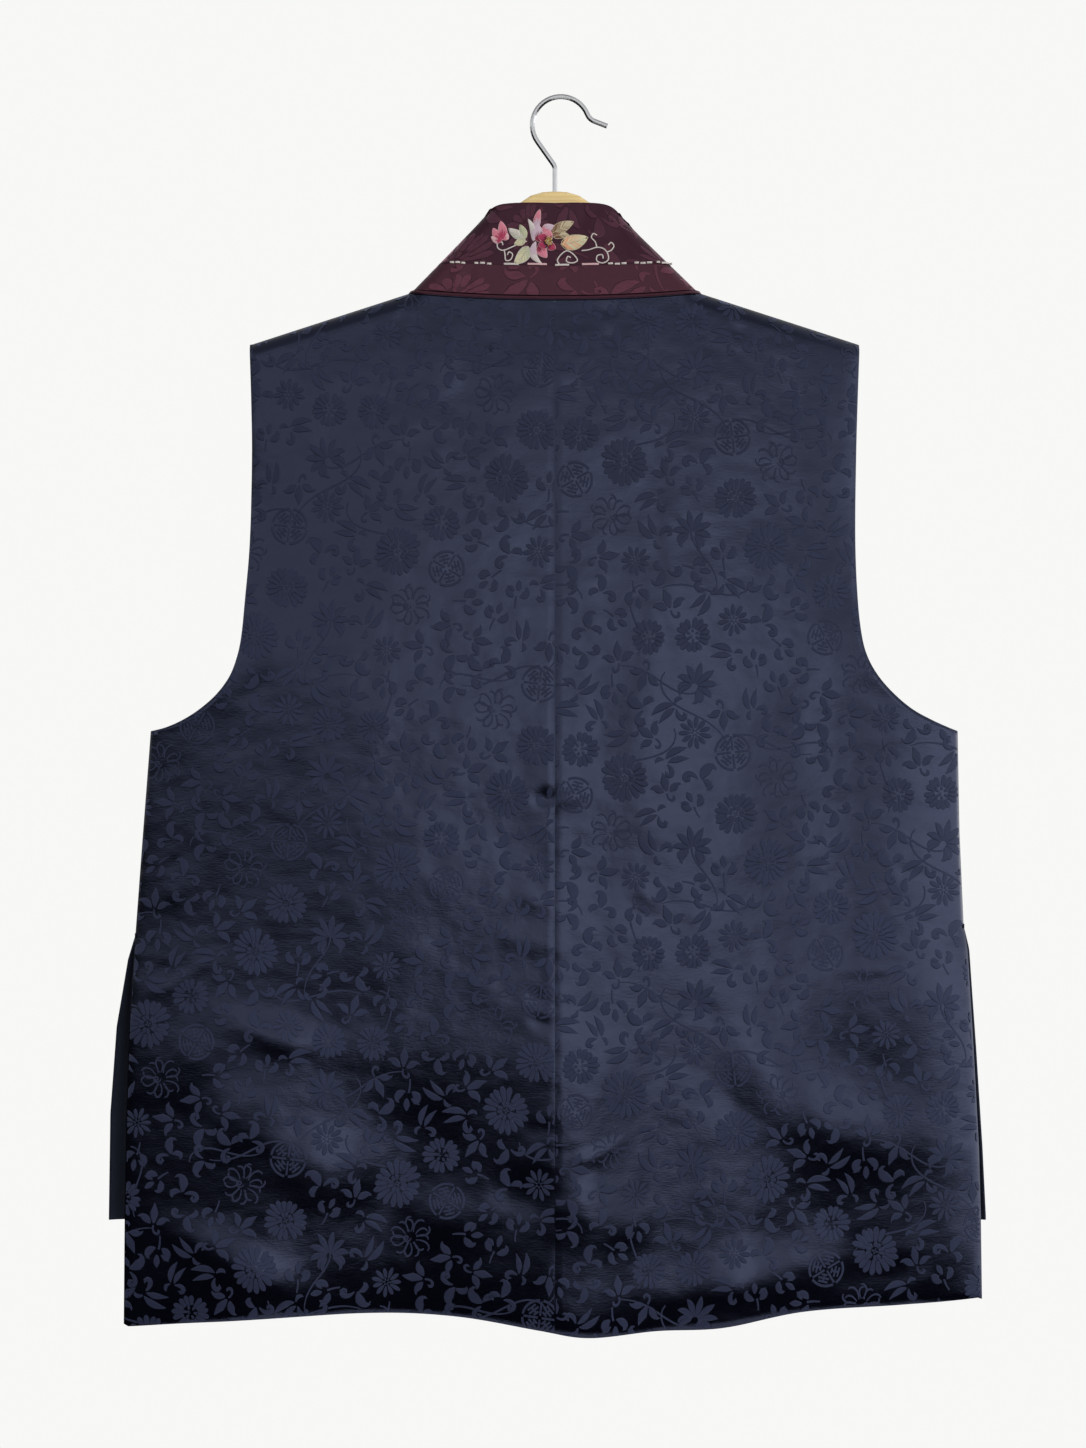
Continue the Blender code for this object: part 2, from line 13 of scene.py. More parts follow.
import bmesh
import bpy
import numpy as np
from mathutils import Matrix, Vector


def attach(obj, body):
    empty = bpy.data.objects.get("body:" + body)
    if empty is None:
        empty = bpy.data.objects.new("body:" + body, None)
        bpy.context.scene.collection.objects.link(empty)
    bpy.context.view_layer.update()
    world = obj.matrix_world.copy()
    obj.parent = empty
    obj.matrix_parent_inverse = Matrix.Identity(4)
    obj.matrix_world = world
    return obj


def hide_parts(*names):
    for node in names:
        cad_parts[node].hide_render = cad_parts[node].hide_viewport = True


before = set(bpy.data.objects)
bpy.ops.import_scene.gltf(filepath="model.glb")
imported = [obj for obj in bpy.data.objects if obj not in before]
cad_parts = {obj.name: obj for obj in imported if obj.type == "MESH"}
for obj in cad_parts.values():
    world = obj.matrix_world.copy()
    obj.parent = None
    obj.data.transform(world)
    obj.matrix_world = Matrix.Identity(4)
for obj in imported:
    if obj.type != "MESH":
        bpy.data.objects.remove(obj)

MM = 0.001
HOOK_OFFSET = 4.44
BODY = "root"
FULL_TURN = 6.28
log = logging.getLogger("waistcoat")
Pair = tuple[float, float]
Triple = tuple[float, float, float]
Array = np.ndarray
Socket = bpy.types.NodeSocket
Material = bpy.types.Material
Piece = bpy.types.Object
Mesh = bpy.types.Mesh
Curve = bpy.types.Curve


class Side(Enum):
    """Which half of the garment, by the sign of its x."""

    LEFT = 1
    RIGHT = -1


class Layer(Enum):
    """Back or front of the garment, by the sign of its y."""

    BACK = 1
    FRONT = -1


# Shape of the hanging garment

SHOULDER_TIP = (226.0, -183.0)
NECK_POINT = (107.2, -144.6)
COLLAR_CORNER = (49.0, -84.6)
RIGHT_CORNER_DROP = 3.6
RIGHT_CORNER_REACH = 1.6
BACK_NECK_DIP = 4.6
ARMPIT_Z = -470.0
ARMHOLE_SWELL_TOP = -290.0
FRONT_ARMHOLE_MORE = 1.6
COLLAR_END = -390.0
FRONT_EDGE_GAP = 1.2
FRONT_HEM = -834.5
FRONT_HEM_DIP = 5.0
FRONT_HEM_DIP_REACH = 200.0
LOWEST = -990.0
EDGE_RADIUS = 9.0
LOWER_COLLAR_SHARE = 0.34
SHARPEST_UNROUNDED = 55.0
SLIT_TOP = {Side.LEFT: -621.0, Side.RIGHT: -614.0}

# Armhole edge: height, then half width on the left and on the right
ARMHOLE = (
    (-183, 226.4, 225.8),
    (-225, 225, 224.2),
    (-268, 224.4, 223),
    (-330, 225.8, 222.2),
    (-373, 229.2, 223.8),
    (-400, 231.8, 226.8),
    (-416, 235.2, 231.4),
    (-430, 240.8, 239.6),
    (-443, 250.6, 251.4),
    (-454, 263.4, 265),
    (-462, 276.4, 280),
    (-467.5, 289.4, 292.6),
    (-470, 300.4, 299.4),
)

# Side edge under the armpit: height, then half width of the back and of the front
SIDE_EDGES = {
    Side.LEFT: (
        (-470, 300.4, 300.4),
        (-545, 306.2, 306.2),
        (-621, 311.8, 311.8),
        (-640, 313, 317.6),
        (-690, 316, 326.4),
        (-755, 317.8, 331.4),
        (-832, 319, 332.6),
        (-912, 319.6, 332.6),
    ),
    Side.RIGHT: (
        (-470, 299.4, 299.4),
        (-545, 300.8, 300.8),
        (-614, 303.8, 303.8),
        (-632, 306.4, 308.2),
        (-705, 310.6, 313.8),
        (-780, 314.4, 318.8),
        (-832, 315.8, 321.4),
        (-912, 316.8, 322),
    ),
}

# Back hem: signed x and height
BACK_HEM = (
    (-317, -889.4),
    (-252, -894.6),
    (-180, -898.6),
    (-122, -909.6),
    (-74, -911.8),
    (-25, -916.2),
    (12, -911),
    (75, -901.6),
    (150, -899.8),
    (254, -905.8),
    (320, -911.2),
)

# How far the cloth stands out: height, middle and edge of the back, middle and edge of the front
STANDS_OUT = (
    (-70, 9, 8, 9, 8),
    (-115, 10.4, 8, 9.8, 8),
    (-150, 12.2, 8, 10.6, 8),
    (-190, 14.2, 8.2, 11.4, 8),
    (-250, 16.6, 8.6, 12.6, 8.2),
    (-350, 19.4, 8.6, 14, 8.2),
    (-430, 21.2, 6.4, 14.8, 6.2),
    (-470, 22, 2, 15.2, 2),
    (-618, 24, 2, 16.4, 2),
    (-660, 24.6, 4.2, 16.6, 4.6),
    (-760, 25.4, 6.6, 17, 8),
    (-920, 26, 8, 17, 9),
)
BULGE_SHARPNESS = 3.2
BULGE_ROUNDNESS = 0.6

# How a fold swells over its length: it fades in, starts at a share of its height, and fades out past
# its end where that lies above the hem
FOLD_FADE = 0.35
FOLD_START_HEIGHT = 0.45
FOLD_END = 0.7
FOLD_END_FADE = 0.8
FOLD_TO_HEM = -800.0

# How far past its middle a crease reaches, as a share of its length, and how narrow its ends are
CREASE_REACH = 0.55
CREASE_END_WIDTH = 0.7

# Collar from the middle of the back to its end on the chest: x and z of its seam, then of its free edge
COLLAR_ROWS = (
    (0, -149.2, 0, -78.6),
    (30, -148.9, 15, -78.3),
    (60, -147.8, 28.5, -78.5),
    (84, -146.3, 38.5, -79.4),
    (98, -145.2, 45, -81.4),
    (NECK_POINT[0], NECK_POINT[1], COLLAR_CORNER[0], COLLAR_CORNER[1]),
    (107.6, -150, 49.2, -90.5),
    (106.6, -162, 47.4, -103.6),
    (103, -190, 41.5, -137),
    (96, -240, 31.5, -197),
    (84.5, -315, 15.5, -290),
    (71.2, COLLAR_END, FRONT_EDGE_GAP, COLLAR_END),
)
FOLD_ROW = 5
COLLAR_STEPS = 10
COLLAR_HEIGHT = 70.6


@dataclass(frozen=True)
class Fold:
    """A long soft fold that deepens from its upper end to its lower end."""

    top: Pair
    bottom: Pair
    half_width: float
    height: float


@dataclass(frozen=True)
class Crease:
    """A ridge, or with a negative height a trough, along a short stretch of cloth."""

    start: Pair
    end: Pair
    width: float
    height: float
    lean: float = 0.0
    bow: float = 0.06


def ridges(kind: type, *rows: tuple[float, ...]) -> tuple:
    """Folds or creases from rows: x and z of one end and of the other, then the kind's other columns."""
    return tuple(kind(row[:2], row[2:4], *row[4:]) for row in rows)


FOLDS = {
    Layer.BACK: ridges(
        Fold,
        (-8, -640, -26, -930, 44, 5),
        (96, -700, 118, -930, 52, -6),
        (214, -660, 236, -930, 46, 5),
        (-130, -720, -150, -930, 46, 2.6),
        (-222, -650, -236, -930, 52, -4.4),
        (-104, -230, -62, -480, 18, 1),
    ),
    Layer.FRONT: ridges(
        Fold,
        (118, -420, 132, -850, 40, 4),
        (-120, -420, -150, -850, 42, 4),
        (232, -600, 250, -850, 36, -3.5),
        (-226, -600, -240, -850, 36, -3.5),
    ),
}

BACK_CREASES = ridges(
    Crease,
    # broad soft ridges and hollows of the lower part
    (196, -788, 138, -792, 30, 3),
    (318, -826, 166, -908, 18, 2.1, 0.2, -0.05),
    (102, -824, 54, -830, 20, 1.7),
    (36, -808, 0, -812, 18, -1.8),
    (-142, -704, -262, -778, 34, 4.4, 0.2, 0.1),
    (-84, -888, -196, -862, 22, 2.6),
    (-6, -812, -62, -832, 22, 1.7, 0.3),
    (-206, -872, -280, -860, 14, -0.9),
    (312, -716, 258, -712, 26, 1.7),
    (266, -668, 150, -706, 16, 1),
    (240, -742, 216, -770, 22, 1.2),
    (60, -896, -40, -902, 14, 0.8),
    # long soft hollow between the seam and the right side
    (-188, -420, -196, -640, 34, -1.6),
    (-120, -330, -110, -600, 50, 0.8),
    (150, -380, 120, -640, 50, 1.2),
    # short creases at the sides, above and beside the slits
    (302, -502, 277, -492, 4, -0.5, 0.6),
    (292, -571, 279, -566, 4, -0.37),
    (316, -664, 258, -638, 6, 0.56, 0.8, 0.1),
    (296, -646, 288, -645, 5, -0.68),
    (306, -596, 272, -584, 8, 0.5, 0.5),
    (232, -688, 180, -704, 10, 0.7, -0.5),
    (-268, -575, -300, -575, 4.5, -0.5, 0.6),
    (-252, -571, -268, -575, 4, -0.37),
    (-188, -637, -261, -643, 5, 0.24, 0.7),
    (-297, -684, -307, -691, 4, -0.5),
    (-302, -734, -310, -732, 4, -0.43),
    (-63, -584, -79, -598, 5, 0.37, 0.6),
    # puckers along the centre seam
    (13, -521, 2, -521, 6, -0.93, -0.8),
    (-4, -519, -20, -516, 6, 0.62, 0.6),
    (20, -664, 4, -668, 5, -0.5),
    (16, -682, 2, -684, 5, -0.56, 0.5),
    (26, -590, 6, -598, 7, 0.31),
    (-7, -785, -50, -770, 6, 0.56, 0.9),
    (24, -760, 4, -764, 7, -0.43),
    (40, -618, 8, -622, 8, 0.31, 0.4),
    # long soft troughs under the right shoulder
    (-67, -243, -104, -324, 6, -0.34, 0.6),
    (-74, -290, -97, -424, 7, -0.31, -0.5),
    (150, -215, 170, -330, 12, -0.5, 0.4),
    (186, -190, 184, -260, 9, 0.31),
    (64, -180, 52, -280, 15, -0.6),
    # strain under the collar and on the shoulders
    (-30, -157, -48, -155, 3.6, -0.5, 0.6),
    (-104, -150, -105, -165, 3.2, -0.62),
    (-37, -178, -44, -180, 5, -0.5),
    (-129, -171, -143, -174, 3.6, -0.43, 0.6),
    (-200, -184, -222, -193, 4, -0.37),
    (112, -152, 116, -182, 3.6, -0.56, -0.4),
    (236, -446, 214, -430, 8, -0.37, 0.5),
    (-244, -448, -222, -436, 8, -0.31, 0.4),
)

FRONT_CREASES = ridges(
    Crease,
    (286, -792, 170, -812, 22, 2.2, 0, 0.1),
    (-180, -780, -290, -802, 22, 2, 0, 0.1),
    (90, -500, 130, -640, 14, 1, 0.5),
    (-84, -470, -112, -610, 15, -1, 0.5),
    (12, -560, 40, -566, 7, -0.5, 0.6),
    (-10, -640, -42, -652, 8, -0.5, 0.6),
    (296, -500, 262, -488, 5, -0.43, 0.6),
    (-294, -560, -262, -552, 5, -0.43, 0.6),
    (292, -640, 236, -622, 7, 0.5, 0.6),
    (-290, -634, -232, -628, 7, 0.5, 0.6),
    (160, -204, 176, -330, 12, -0.7, 0.5),
    (-158, -200, -178, -318, 11, -0.7, 0.5),
    (60, -720, 96, -790, 18, 1.3),
    (-52, -730, -80, -800, 18, -1.3),
    (200, -700, 130, -720, 26, -1.6),
    (-140, -690, -220, -716, 26, 1.5),
)
CREASES = {Layer.BACK: BACK_CREASES, Layer.FRONT: FRONT_CREASES}

# Creases of the collar at the back of the neck
COLLAR_CREASES = ridges(
    Crease,
    (55, -88, 60, -116, 3.4, -1.1, 0.6),
    (72, -128, 74, -146, 3.2, 0.9),
    (60, -126, 64, -146, 3.6, -0.8, 0.5),
    (-22, -80, -26, -98, 4.4, -0.7, 0.5),
    (-34, -84, -40, -100, 4, 0.6),
    (-52, -104, -70, -122, 4.6, 0.7, 0.6),
    (20, -128, -10, -129, 4, 0.5),
)


def eased(share: Array) -> Array:
    """A share from 0 to 1 that starts and ends gently."""
    return share * share * (3 - 2 * share)


def smoothed(rows: tuple, steps: int = 12) -> Array:
    """A finer table, on a smooth curve through the rows of a short one.

    Args:
        rows: the short table.
        steps: how many rows replace each stretch between two rows.

    Returns:
        The finer table, one row for each point of the curve.
    """
    table = np.array(rows, float)
    padded = np.vstack([table[:1], table, table[-1:]])
    share = np.linspace(0.0, 1.0, steps, endpoint=False)[:, None]
    parts = []
    for before, low, high, after in zip(padded, padded[1:], padded[2:], padded[3:]):
        near = (high - before) / 2 * share * (1 - share) ** 2
        far = (after - low) / 2 * share * share * (share - 1)
        parts.append(low + (high - low) * eased(share) + near + far)
    return np.vstack(parts + [table[-1:]])


def read(table: Array, at: Array, column: int) -> Array:
    """Reads a column of a table at values of its first column, which may run either way."""
    ordered = table[np.argsort(table[:, 0], kind="stable")]
    return np.interp(at, ordered[:, 0], ordered[:, column])


def evened(table: Array, reach: int) -> Array:
    """A table with a row for each millimetre of its first column, evened out.

    Args:
        table: the table.
        reach: how many rows either side each row is averaged over.

    Returns:
        The evened table.
    """
    at = np.arange(math.floor(table[:, 0].min()), math.ceil(table[:, 0].max()) + 1.0)
    window = np.hanning(2 * reach + 1)
    window /= window.sum()
    columns = [at]
    for column in range(1, table.shape[1]):
        values = np.pad(read(table, at, column), reach, mode="edge")
        columns.append(np.convolve(values, window, "valid"))
    return np.stack(columns, 1)


def distance_to_stretch(x: Array, z: Array, start: tuple, end: tuple) -> Array:
    """Distance in the hanger's plane from places to a straight stretch.

    Args:
        x: distances from the garment's centre line.
        z: heights.
        start: x and z where the stretch starts.
        end: x and z where it ends.

    Returns:
        The distance of each place.
    """
    along = (end[0] - start[0], end[1] - start[1])
    length = along[0] ** 2 + along[1] ** 2
    share = np.clip(((x - start[0]) * along[0] + (z - start[1]) * along[1]) / length, 0.0, 1.0)
    return np.hypot(x - start[0] - share * along[0], z - start[1] - share * along[1])


def crease_relief(x: Array, z: Array, creases: tuple[Crease, ...]) -> Array:
    """How far a list of creases moves the cloth outwards.

    Args:
        x: signed places.
        z: heights.
        creases: the creases, which add up.

    Returns:
        The distance at each place.
    """
    total = np.zeros_like(x)
    for crease in creases:
        along = np.subtract(crease.end, crease.start)
        length = math.hypot(*along)
        unit = along / length
        dx, dz = x - crease.start[0], z - crease.start[1]
        from_middle = (dx * unit[0] + dz * unit[1]) / length - 0.5
        reach = CREASE_REACH + crease.width / length
        taper = np.maximum(0.0, 1 - (from_middle / reach) ** 2) ** 2
        aside = dz * unit[0] - dx * unit[1] + crease.bow * length * (4 * from_middle**2 - 1)
        across = aside / (crease.width * (CREASE_END_WIDTH + (1 - CREASE_END_WIDTH) * taper))
        total += crease.height * taper * np.exp(-(across**2)) * (1 + crease.lean * across)
    return total


@dataclass
class GarmentForm:
    """The surface of the hanging garment: how far its outer face stands from the hanger's plane."""

    ripple_count: int = 16
    ripple_lengths: Pair = (26.0, 170.0)
    ripple_slope: float = 0.0032
    ripple_seed: int = 5
    neck_margin: float = 4.0
    neck_fade: float = 12.0
    edge_hold: float = 6.0
    edge_roll: float = 0.7
    edge_roll_reach: float = 3.0
    seam_dip: float = 0.35
    seam_dip_reach: float = 1.3
    pucker: float = 0.07
    pucker_reach: float = 11.0
    pucker_waves: Triple = (0.31, 2.3, 0.047)
    pucker_top: float = -440.0
    pucker_fade: float = 60.0
    seam_ridge: float = 1.2
    seam_ridge_reach: float = 24.0
    seam_ridge_top: float = -400.0
    seam_ridge_fade: float = 200.0
    hem_curl: float = 2.6
    hem_curl_reach: float = 42.0
    slope_step: float = 0.4
    armhole: Array = field(default_factory=lambda: smoothed(ARMHOLE))
    hem: Array = field(default_factory=lambda: smoothed(BACK_HEM))
    stands_out: Array = field(default_factory=lambda: evened(smoothed(STANDS_OUT, 6), 30))
    collar: Array = field(default_factory=lambda: smoothed(COLLAR_ROWS, COLLAR_STEPS))

    def __post_init__(self) -> None:
        """Draws the directions and wavelengths of the cloth's faint ripples."""
        dice = np.random.default_rng(self.ripple_seed)
        count = self.ripple_count
        turn = np.linspace(0, math.pi, count, endpoint=False) + dice.uniform(-0.1, 0.1, count)
        wave = 2 * math.pi / dice.permutation(np.geomspace(*self.ripple_lengths, count))
        phase = dice.uniform(0, FULL_TURN, count)
        self.ripples = np.stack([wave * np.cos(turn), wave * np.sin(turn), phase], 1)

    def half_width(self, z: Array, side: Side, layer: Layer) -> Array:
        """Half width of a panel from the shoulder tip to the hem.

        Args:
            z: heights.
            side: the half of the garment.
            layer: back or front.

        Returns:
            The half width at each height.
        """
        arm = read(self.armhole, z, 1 if side is Side.LEFT else 2)
        drop = (SHOULDER_TIP[1] - z) / (SHOULDER_TIP[1] - ARMPIT_Z)
        if layer is Layer.FRONT:
            arm = arm + FRONT_ARMHOLE_MORE * 4 * drop * (1 - drop)
        edges = np.array(SIDE_EDGES[side])
        return np.where(z > ARMPIT_Z, arm, read(edges, z, 1 if layer is Layer.BACK else 2))

    def spread(self, z: Array, side: Side, layer: Layer) -> Array:
        """Half width that the bulge is spread over, which widens evenly down to the armpit.

        Args:
            z: heights.
            side: the half of the garment.
            layer: back or front.

        Returns:
            The half width at each height.
        """
        share = np.clip((ARMHOLE_SWELL_TOP - z) / (ARMHOLE_SWELL_TOP - ARMPIT_Z), 0.0, 1.0)
        swell = SHOULDER_TIP[0] + (SIDE_EDGES[side][0][1] - SHOULDER_TIP[0]) * eased(share)
        return np.where(z > ARMPIT_Z, swell, self.half_width(z, side, layer))

    def hem_z(self, x: Array, side: Side, layer: Layer) -> Array:
        """Height of the hem at each distance from the middle.

        Args:
            x: distances from the garment's centre line.
            side: the half of the garment.
            layer: back or front.

        Returns:
            The heights.
        """
        if layer is Layer.BACK:
            return read(self.hem, x * side.value, 1)
        return FRONT_HEM - FRONT_HEM_DIP * np.maximum(0.0, 1 - (x / FRONT_HEM_DIP_REACH) ** 2)

    def shoulder_z(self, x: Array) -> Array:
        """Height of the shoulder line."""
        share = (x - NECK_POINT[0]) / (SHOULDER_TIP[0] - NECK_POINT[0])
        return NECK_POINT[1] + (SHOULDER_TIP[1] - NECK_POINT[1]) * share

    def back_neck_z(self, x: Array) -> Array:
        """Height of the back neck seam."""
        share = np.minimum(x / NECK_POINT[0], 1.0)
        return NECK_POINT[1] - BACK_NECK_DIP * (1 - share * share)

    def front_seam_x(self, z: Array) -> Array:
        """Where the front panel meets the collar's band."""
        rows = self.collar[FOLD_ROW * COLLAR_STEPS :]
        return read(rows[:, [1, 0]], z, 1)

    def folds(self, x: Array, z: Array, layer: Layer) -> Array:
        """How far the long folds move the cloth outwards.

        Args:
            x: signed places.
            z: heights.
            layer: back or front.

        Returns:
            The distance at each place.
        """
        total = np.zeros_like(x)
        for fold in FOLDS[layer]:
            share = (fold.top[1] - z) / (fold.top[1] - fold.bottom[1])
            down = np.clip(share, 0.0, 1.0)
            middle = fold.top[0] + (fold.bottom[0] - fold.top[0]) * down
            swell = eased(np.clip(share / FOLD_FADE, 0.0, 1.0))
            swell = swell * (FOLD_START_HEIGHT + (1 - FOLD_START_HEIGHT) * down)
            if fold.bottom[1] > FOLD_TO_HEM:
                swell = swell * (1 - eased(np.clip((share - FOLD_END) / FOLD_END_FADE, 0.0, 1.0)))
            total += fold.height * swell * np.exp(-(((x - middle) / fold.half_width) ** 2))
        return total

    def faint_ripples(self, x: Array, z: Array) -> Array:
        """The slight unevenness of lined silk that hangs free.

        Args:
            x: signed places.
            z: heights.

        Returns:
            The distance at each place.
        """
        total = np.zeros_like(x)
        for kx, kz, phase in self.ripples:
            total += np.sin(kx * x + kz * z + phase) / math.hypot(kx, kz)
        return total * self.ripple_slope

    def seam_relief(self, x: Array, z: Array) -> Array:
        """How the centre back seam draws in and puckers the cloth, and lower down lifts it to a ridge.

        Args:
            x: distances from the seam.
            z: heights.

        Returns:
            How far the cloth moves outwards at each place.
        """
        dip = self.seam_dip * np.exp(-((x / self.seam_dip_reach) ** 2))
        wave, sway, sway_wave = self.pucker_waves
        pucker = np.sin(z * wave + sway * np.sin(z * sway_wave)) * np.exp(-((x / self.pucker_reach) ** 2))
        puckered = np.clip((self.pucker_top - z) / self.pucker_fade, 0.0, 1.0)
        lower = np.clip((self.seam_ridge_top - z) / self.seam_ridge_fade, 0.0, 1.0)
        ridge = self.seam_ridge * np.exp(-np.abs(x) / self.seam_ridge_reach) * lower
        return self.pucker * pucker * puckered - dip + ridge

    def relief(self, x: Array, z: Array, side: Side, layer: Layer) -> Array:
        """How far folds, creases, the seam and the curled hem move the cloth outwards.

        Args:
            x: distances from the garment's centre line.
            z: heights.
            side: the half of the garment.
            layer: back or front.

        Returns:
            The distance at each place.
        """
        signed = x * side.value
        below_neck = np.clip((NECK_POINT[1] - self.neck_margin - z) / self.neck_fade, 0.0, 1.0)
        low = crease_relief(signed, z, CREASES[layer]) + self.faint_ripples(signed, z)
        relief = self.folds(signed, z, layer) + low * below_neck
        if layer is Layer.FRONT:
            return relief
        relief = relief + crease_relief(signed, z, COLLAR_CREASES) * (1 - below_neck)
        relief = relief + self.seam_relief(x, z) * below_neck
        from_hem = np.clip((z - self.hem_z(x, side, layer)) / self.hem_curl_reach, 0.0, 1.0)
        return relief - self.hem_curl * (1 - from_hem) ** 2

    def depth(self, x: Array, z: Array, side: Side, layer: Layer, rim: float = 0.0) -> Array:
        """How far the outer face stands from the hanger's plane.

        Args:
            x: distances from the garment's centre line.
            z: heights.
            side: the half of the garment.
            layer: back or front.
            rim: how far the shoulder edge is taken as passed already.

        Returns:
            The depths, as positive numbers on either layer.
        """
        x, z = np.broadcast_arrays(np.asarray(x, float), np.asarray(z, float))
        column = 1 if layer is Layer.BACK else 3
        middle = read(self.stands_out, z, column)
        edge = read(self.stands_out, z, column + 1)
        share = np.minimum(x / self.spread(z, side, layer), 1.0)
        bulge = np.maximum(0.0, 1 - share**BULGE_SHARPNESS) ** BULGE_ROUNDNESS
        inside = np.clip(self.edge_hold * (1 - share), 0.0, 1.0)
        depth = edge + (middle - edge) * bulge + self.relief(x, z, side, layer) * inside
        from_edge = np.minimum(self.half_width(z, side, layer) - x, z - self.hem_z(x, side, layer))
        depth = depth - self.edge_roll * (1 - np.clip(from_edge / self.edge_roll_reach, 0.0, 1.0)) ** 2
        corner_drop = RIGHT_CORNER_DROP if side is Side.RIGHT else 0.0
        corner = (COLLAR_CORNER[0], COLLAR_CORNER[1] - corner_drop)
        near = np.minimum(
            distance_to_stretch(x, z, SHOULDER_TIP, NECK_POINT),
            distance_to_stretch(x, z, NECK_POINT, corner),
        )
        near = np.minimum(near + rim, EDGE_RADIUS)
        return depth * np.sqrt(1 - (1 - near / EDGE_RADIUS) ** 2)

    def place(self, x: Array, depth: Array, z: Array, side: Side, layer: Layer) -> Array:
        """Points of the garment in metres, from unsigned places and depths."""
        x, depth, z = np.broadcast_arrays(x, depth, z)
        return np.stack([x * side.value + HOOK_OFFSET, depth * layer.value, z], -1) * MM

    def on_surface(self, x: Array, z: Array, layer: Layer, lift: Array | float) -> Array:
        """Points in metres over the outer face, lifted along its normal.

        Args:
            x: signed places.
            z: heights.
            layer: back or front.
            lift: how far over the face, for all the points or for each.

        Returns:
            An array with a point in each row.
        """
        x, z, lift = np.broadcast_arrays(np.asarray(x, float), np.asarray(z, float), np.asarray(lift, float))
        points = np.empty(x.shape + (3,))
        for side in Side:
            chosen = (x >= 0) == (side is Side.LEFT)
            if not chosen.any():
                continue
            away, height, step = np.abs(x[chosen]), z[chosen], self.slope_step
            depth = self.depth(away, height, side, layer)
            slope_x = (self.depth(away + step, height, side, layer) - depth) / step
            slope_z = (self.depth(away, height + step, side, layer) - depth) / step
            over = lift[chosen] / np.sqrt(1 + slope_x**2 + slope_z**2)
            away, height = away - slope_x * over, height - slope_z * over
            points[chosen] = self.place(away, depth + over, height, side, layer)
        return points


# Finishes


class NodeBench:
    """Lays out the nodes of one shader tree."""

    def __init__(self, tree: bpy.types.NodeTree) -> None:
        """Takes the tree to work on."""
        self.tree = tree

    def add(self, kind: str, inputs: dict, **settings: object) -> bpy.types.Node:
        """Adds a node.

        Args:
            kind: the node's type name, without ShaderNode.
            inputs: values or output sockets for its inputs, by name or number.
            settings: the node's own properties.

        Returns:
            The node.
        """
        node = self.tree.nodes.new("ShaderNode" + kind)
        for key, value in settings.items():
            setattr(node, key, value)
        for key, value in inputs.items():
            self.set(node.inputs[key], value)
        return node

    def set(self, socket: bpy.types.NodeSocket, value: object) -> None:
        """Gives an input socket a value, or the link from an output socket.

        Args:
            socket: the input.
            value: a value or an output socket.
        """
        if isinstance(value, bpy.types.NodeSocket):
            self.tree.links.new(value, socket)
        else:
            socket.default_value = value

    def ranged(
        self, value: Socket, low: float, high: float, start: float = 0.0, end: float = 1.0, **settings: object
    ) -> Socket:
        """A value that runs from low to high while the given one runs from start to end."""
        inputs = {"Value": value, "From Min": start, "From Max": end, "To Min": low, "To Max": high}
        return self.add("MapRange", inputs, **settings).outputs["Result"]


class MaterialBench(NodeBench):
    """Lays out the nodes of one material round its Principled shader."""

    def __init__(self, name: str) -> None:
        """Starts the material.

        Args:
            name: the material's name.
        """
        self.material = bpy.data.materials.new(name)
        self.material.use_nodes = True
        super().__init__(self.material.node_tree)
        self.shader = self.tree.nodes["Principled BSDF"]

    def feed(self, **values: object) -> Material:
        """Sets or links the shader's own sockets, with an underscore for a space, and ends the material.

        Args:
            values: values or output sockets, by the input's name.

        Returns:
            The material.
        """
        for key, value in values.items():
            self.set(self.shader.inputs[key.replace("_", " ")], value)
        return self.material

    def mapped(self, source: str, scale: Triple = (1.0, 1.0, 1.0)) -> Socket:
        """The piece's "Object" or "UV" coordinates, scaled."""
        coordinates = self.add("TexCoord", {}).outputs[source]
        return self.add("Mapping", {"Vector": coordinates, "Scale": scale}).outputs["Vector"]

    def noise(self, scale: Triple, detail: float, **more: float) -> Socket:
        """Noise with so many grains a metre along each of the piece's axes."""
        inputs = {"Vector": self.mapped("Object", scale), "Scale": 1.0, "Detail": detail, **more}
        return self.add("TexNoise", inputs).outputs["Fac"]

    def bump(
        self, height: Socket, distance: float, strength: float = 1.0, under: Socket | None = None
    ) -> Socket:
        """Normals of a relief.

        Args:
            height: share of the relief's height.
            distance: the relief's height in metres.
            strength: how much of it shows.
            under: normals of the relief that this one lies on.

        Returns:
            The normals.
        """
        inputs = {"Height": height, "Strength": strength, "Distance": distance}
        if under is not None:
            inputs["Normal"] = under
        return self.add("Bump", inputs).outputs["Normal"]

    def blend(
        self, share: Socket | float, low: Socket | Triple, high: Socket | Triple, **settings: object
    ) -> Socket:
        """A colour between two, by a share, or blended as the settings say."""
        ends = [end if isinstance(end, bpy.types.NodeSocket) else (*end, 1.0) for end in (low, high)]
        return self.add("Mix", {0: share, 6: ends[0], 7: ends[1]}, data_type="RGBA", **settings).outputs[2]


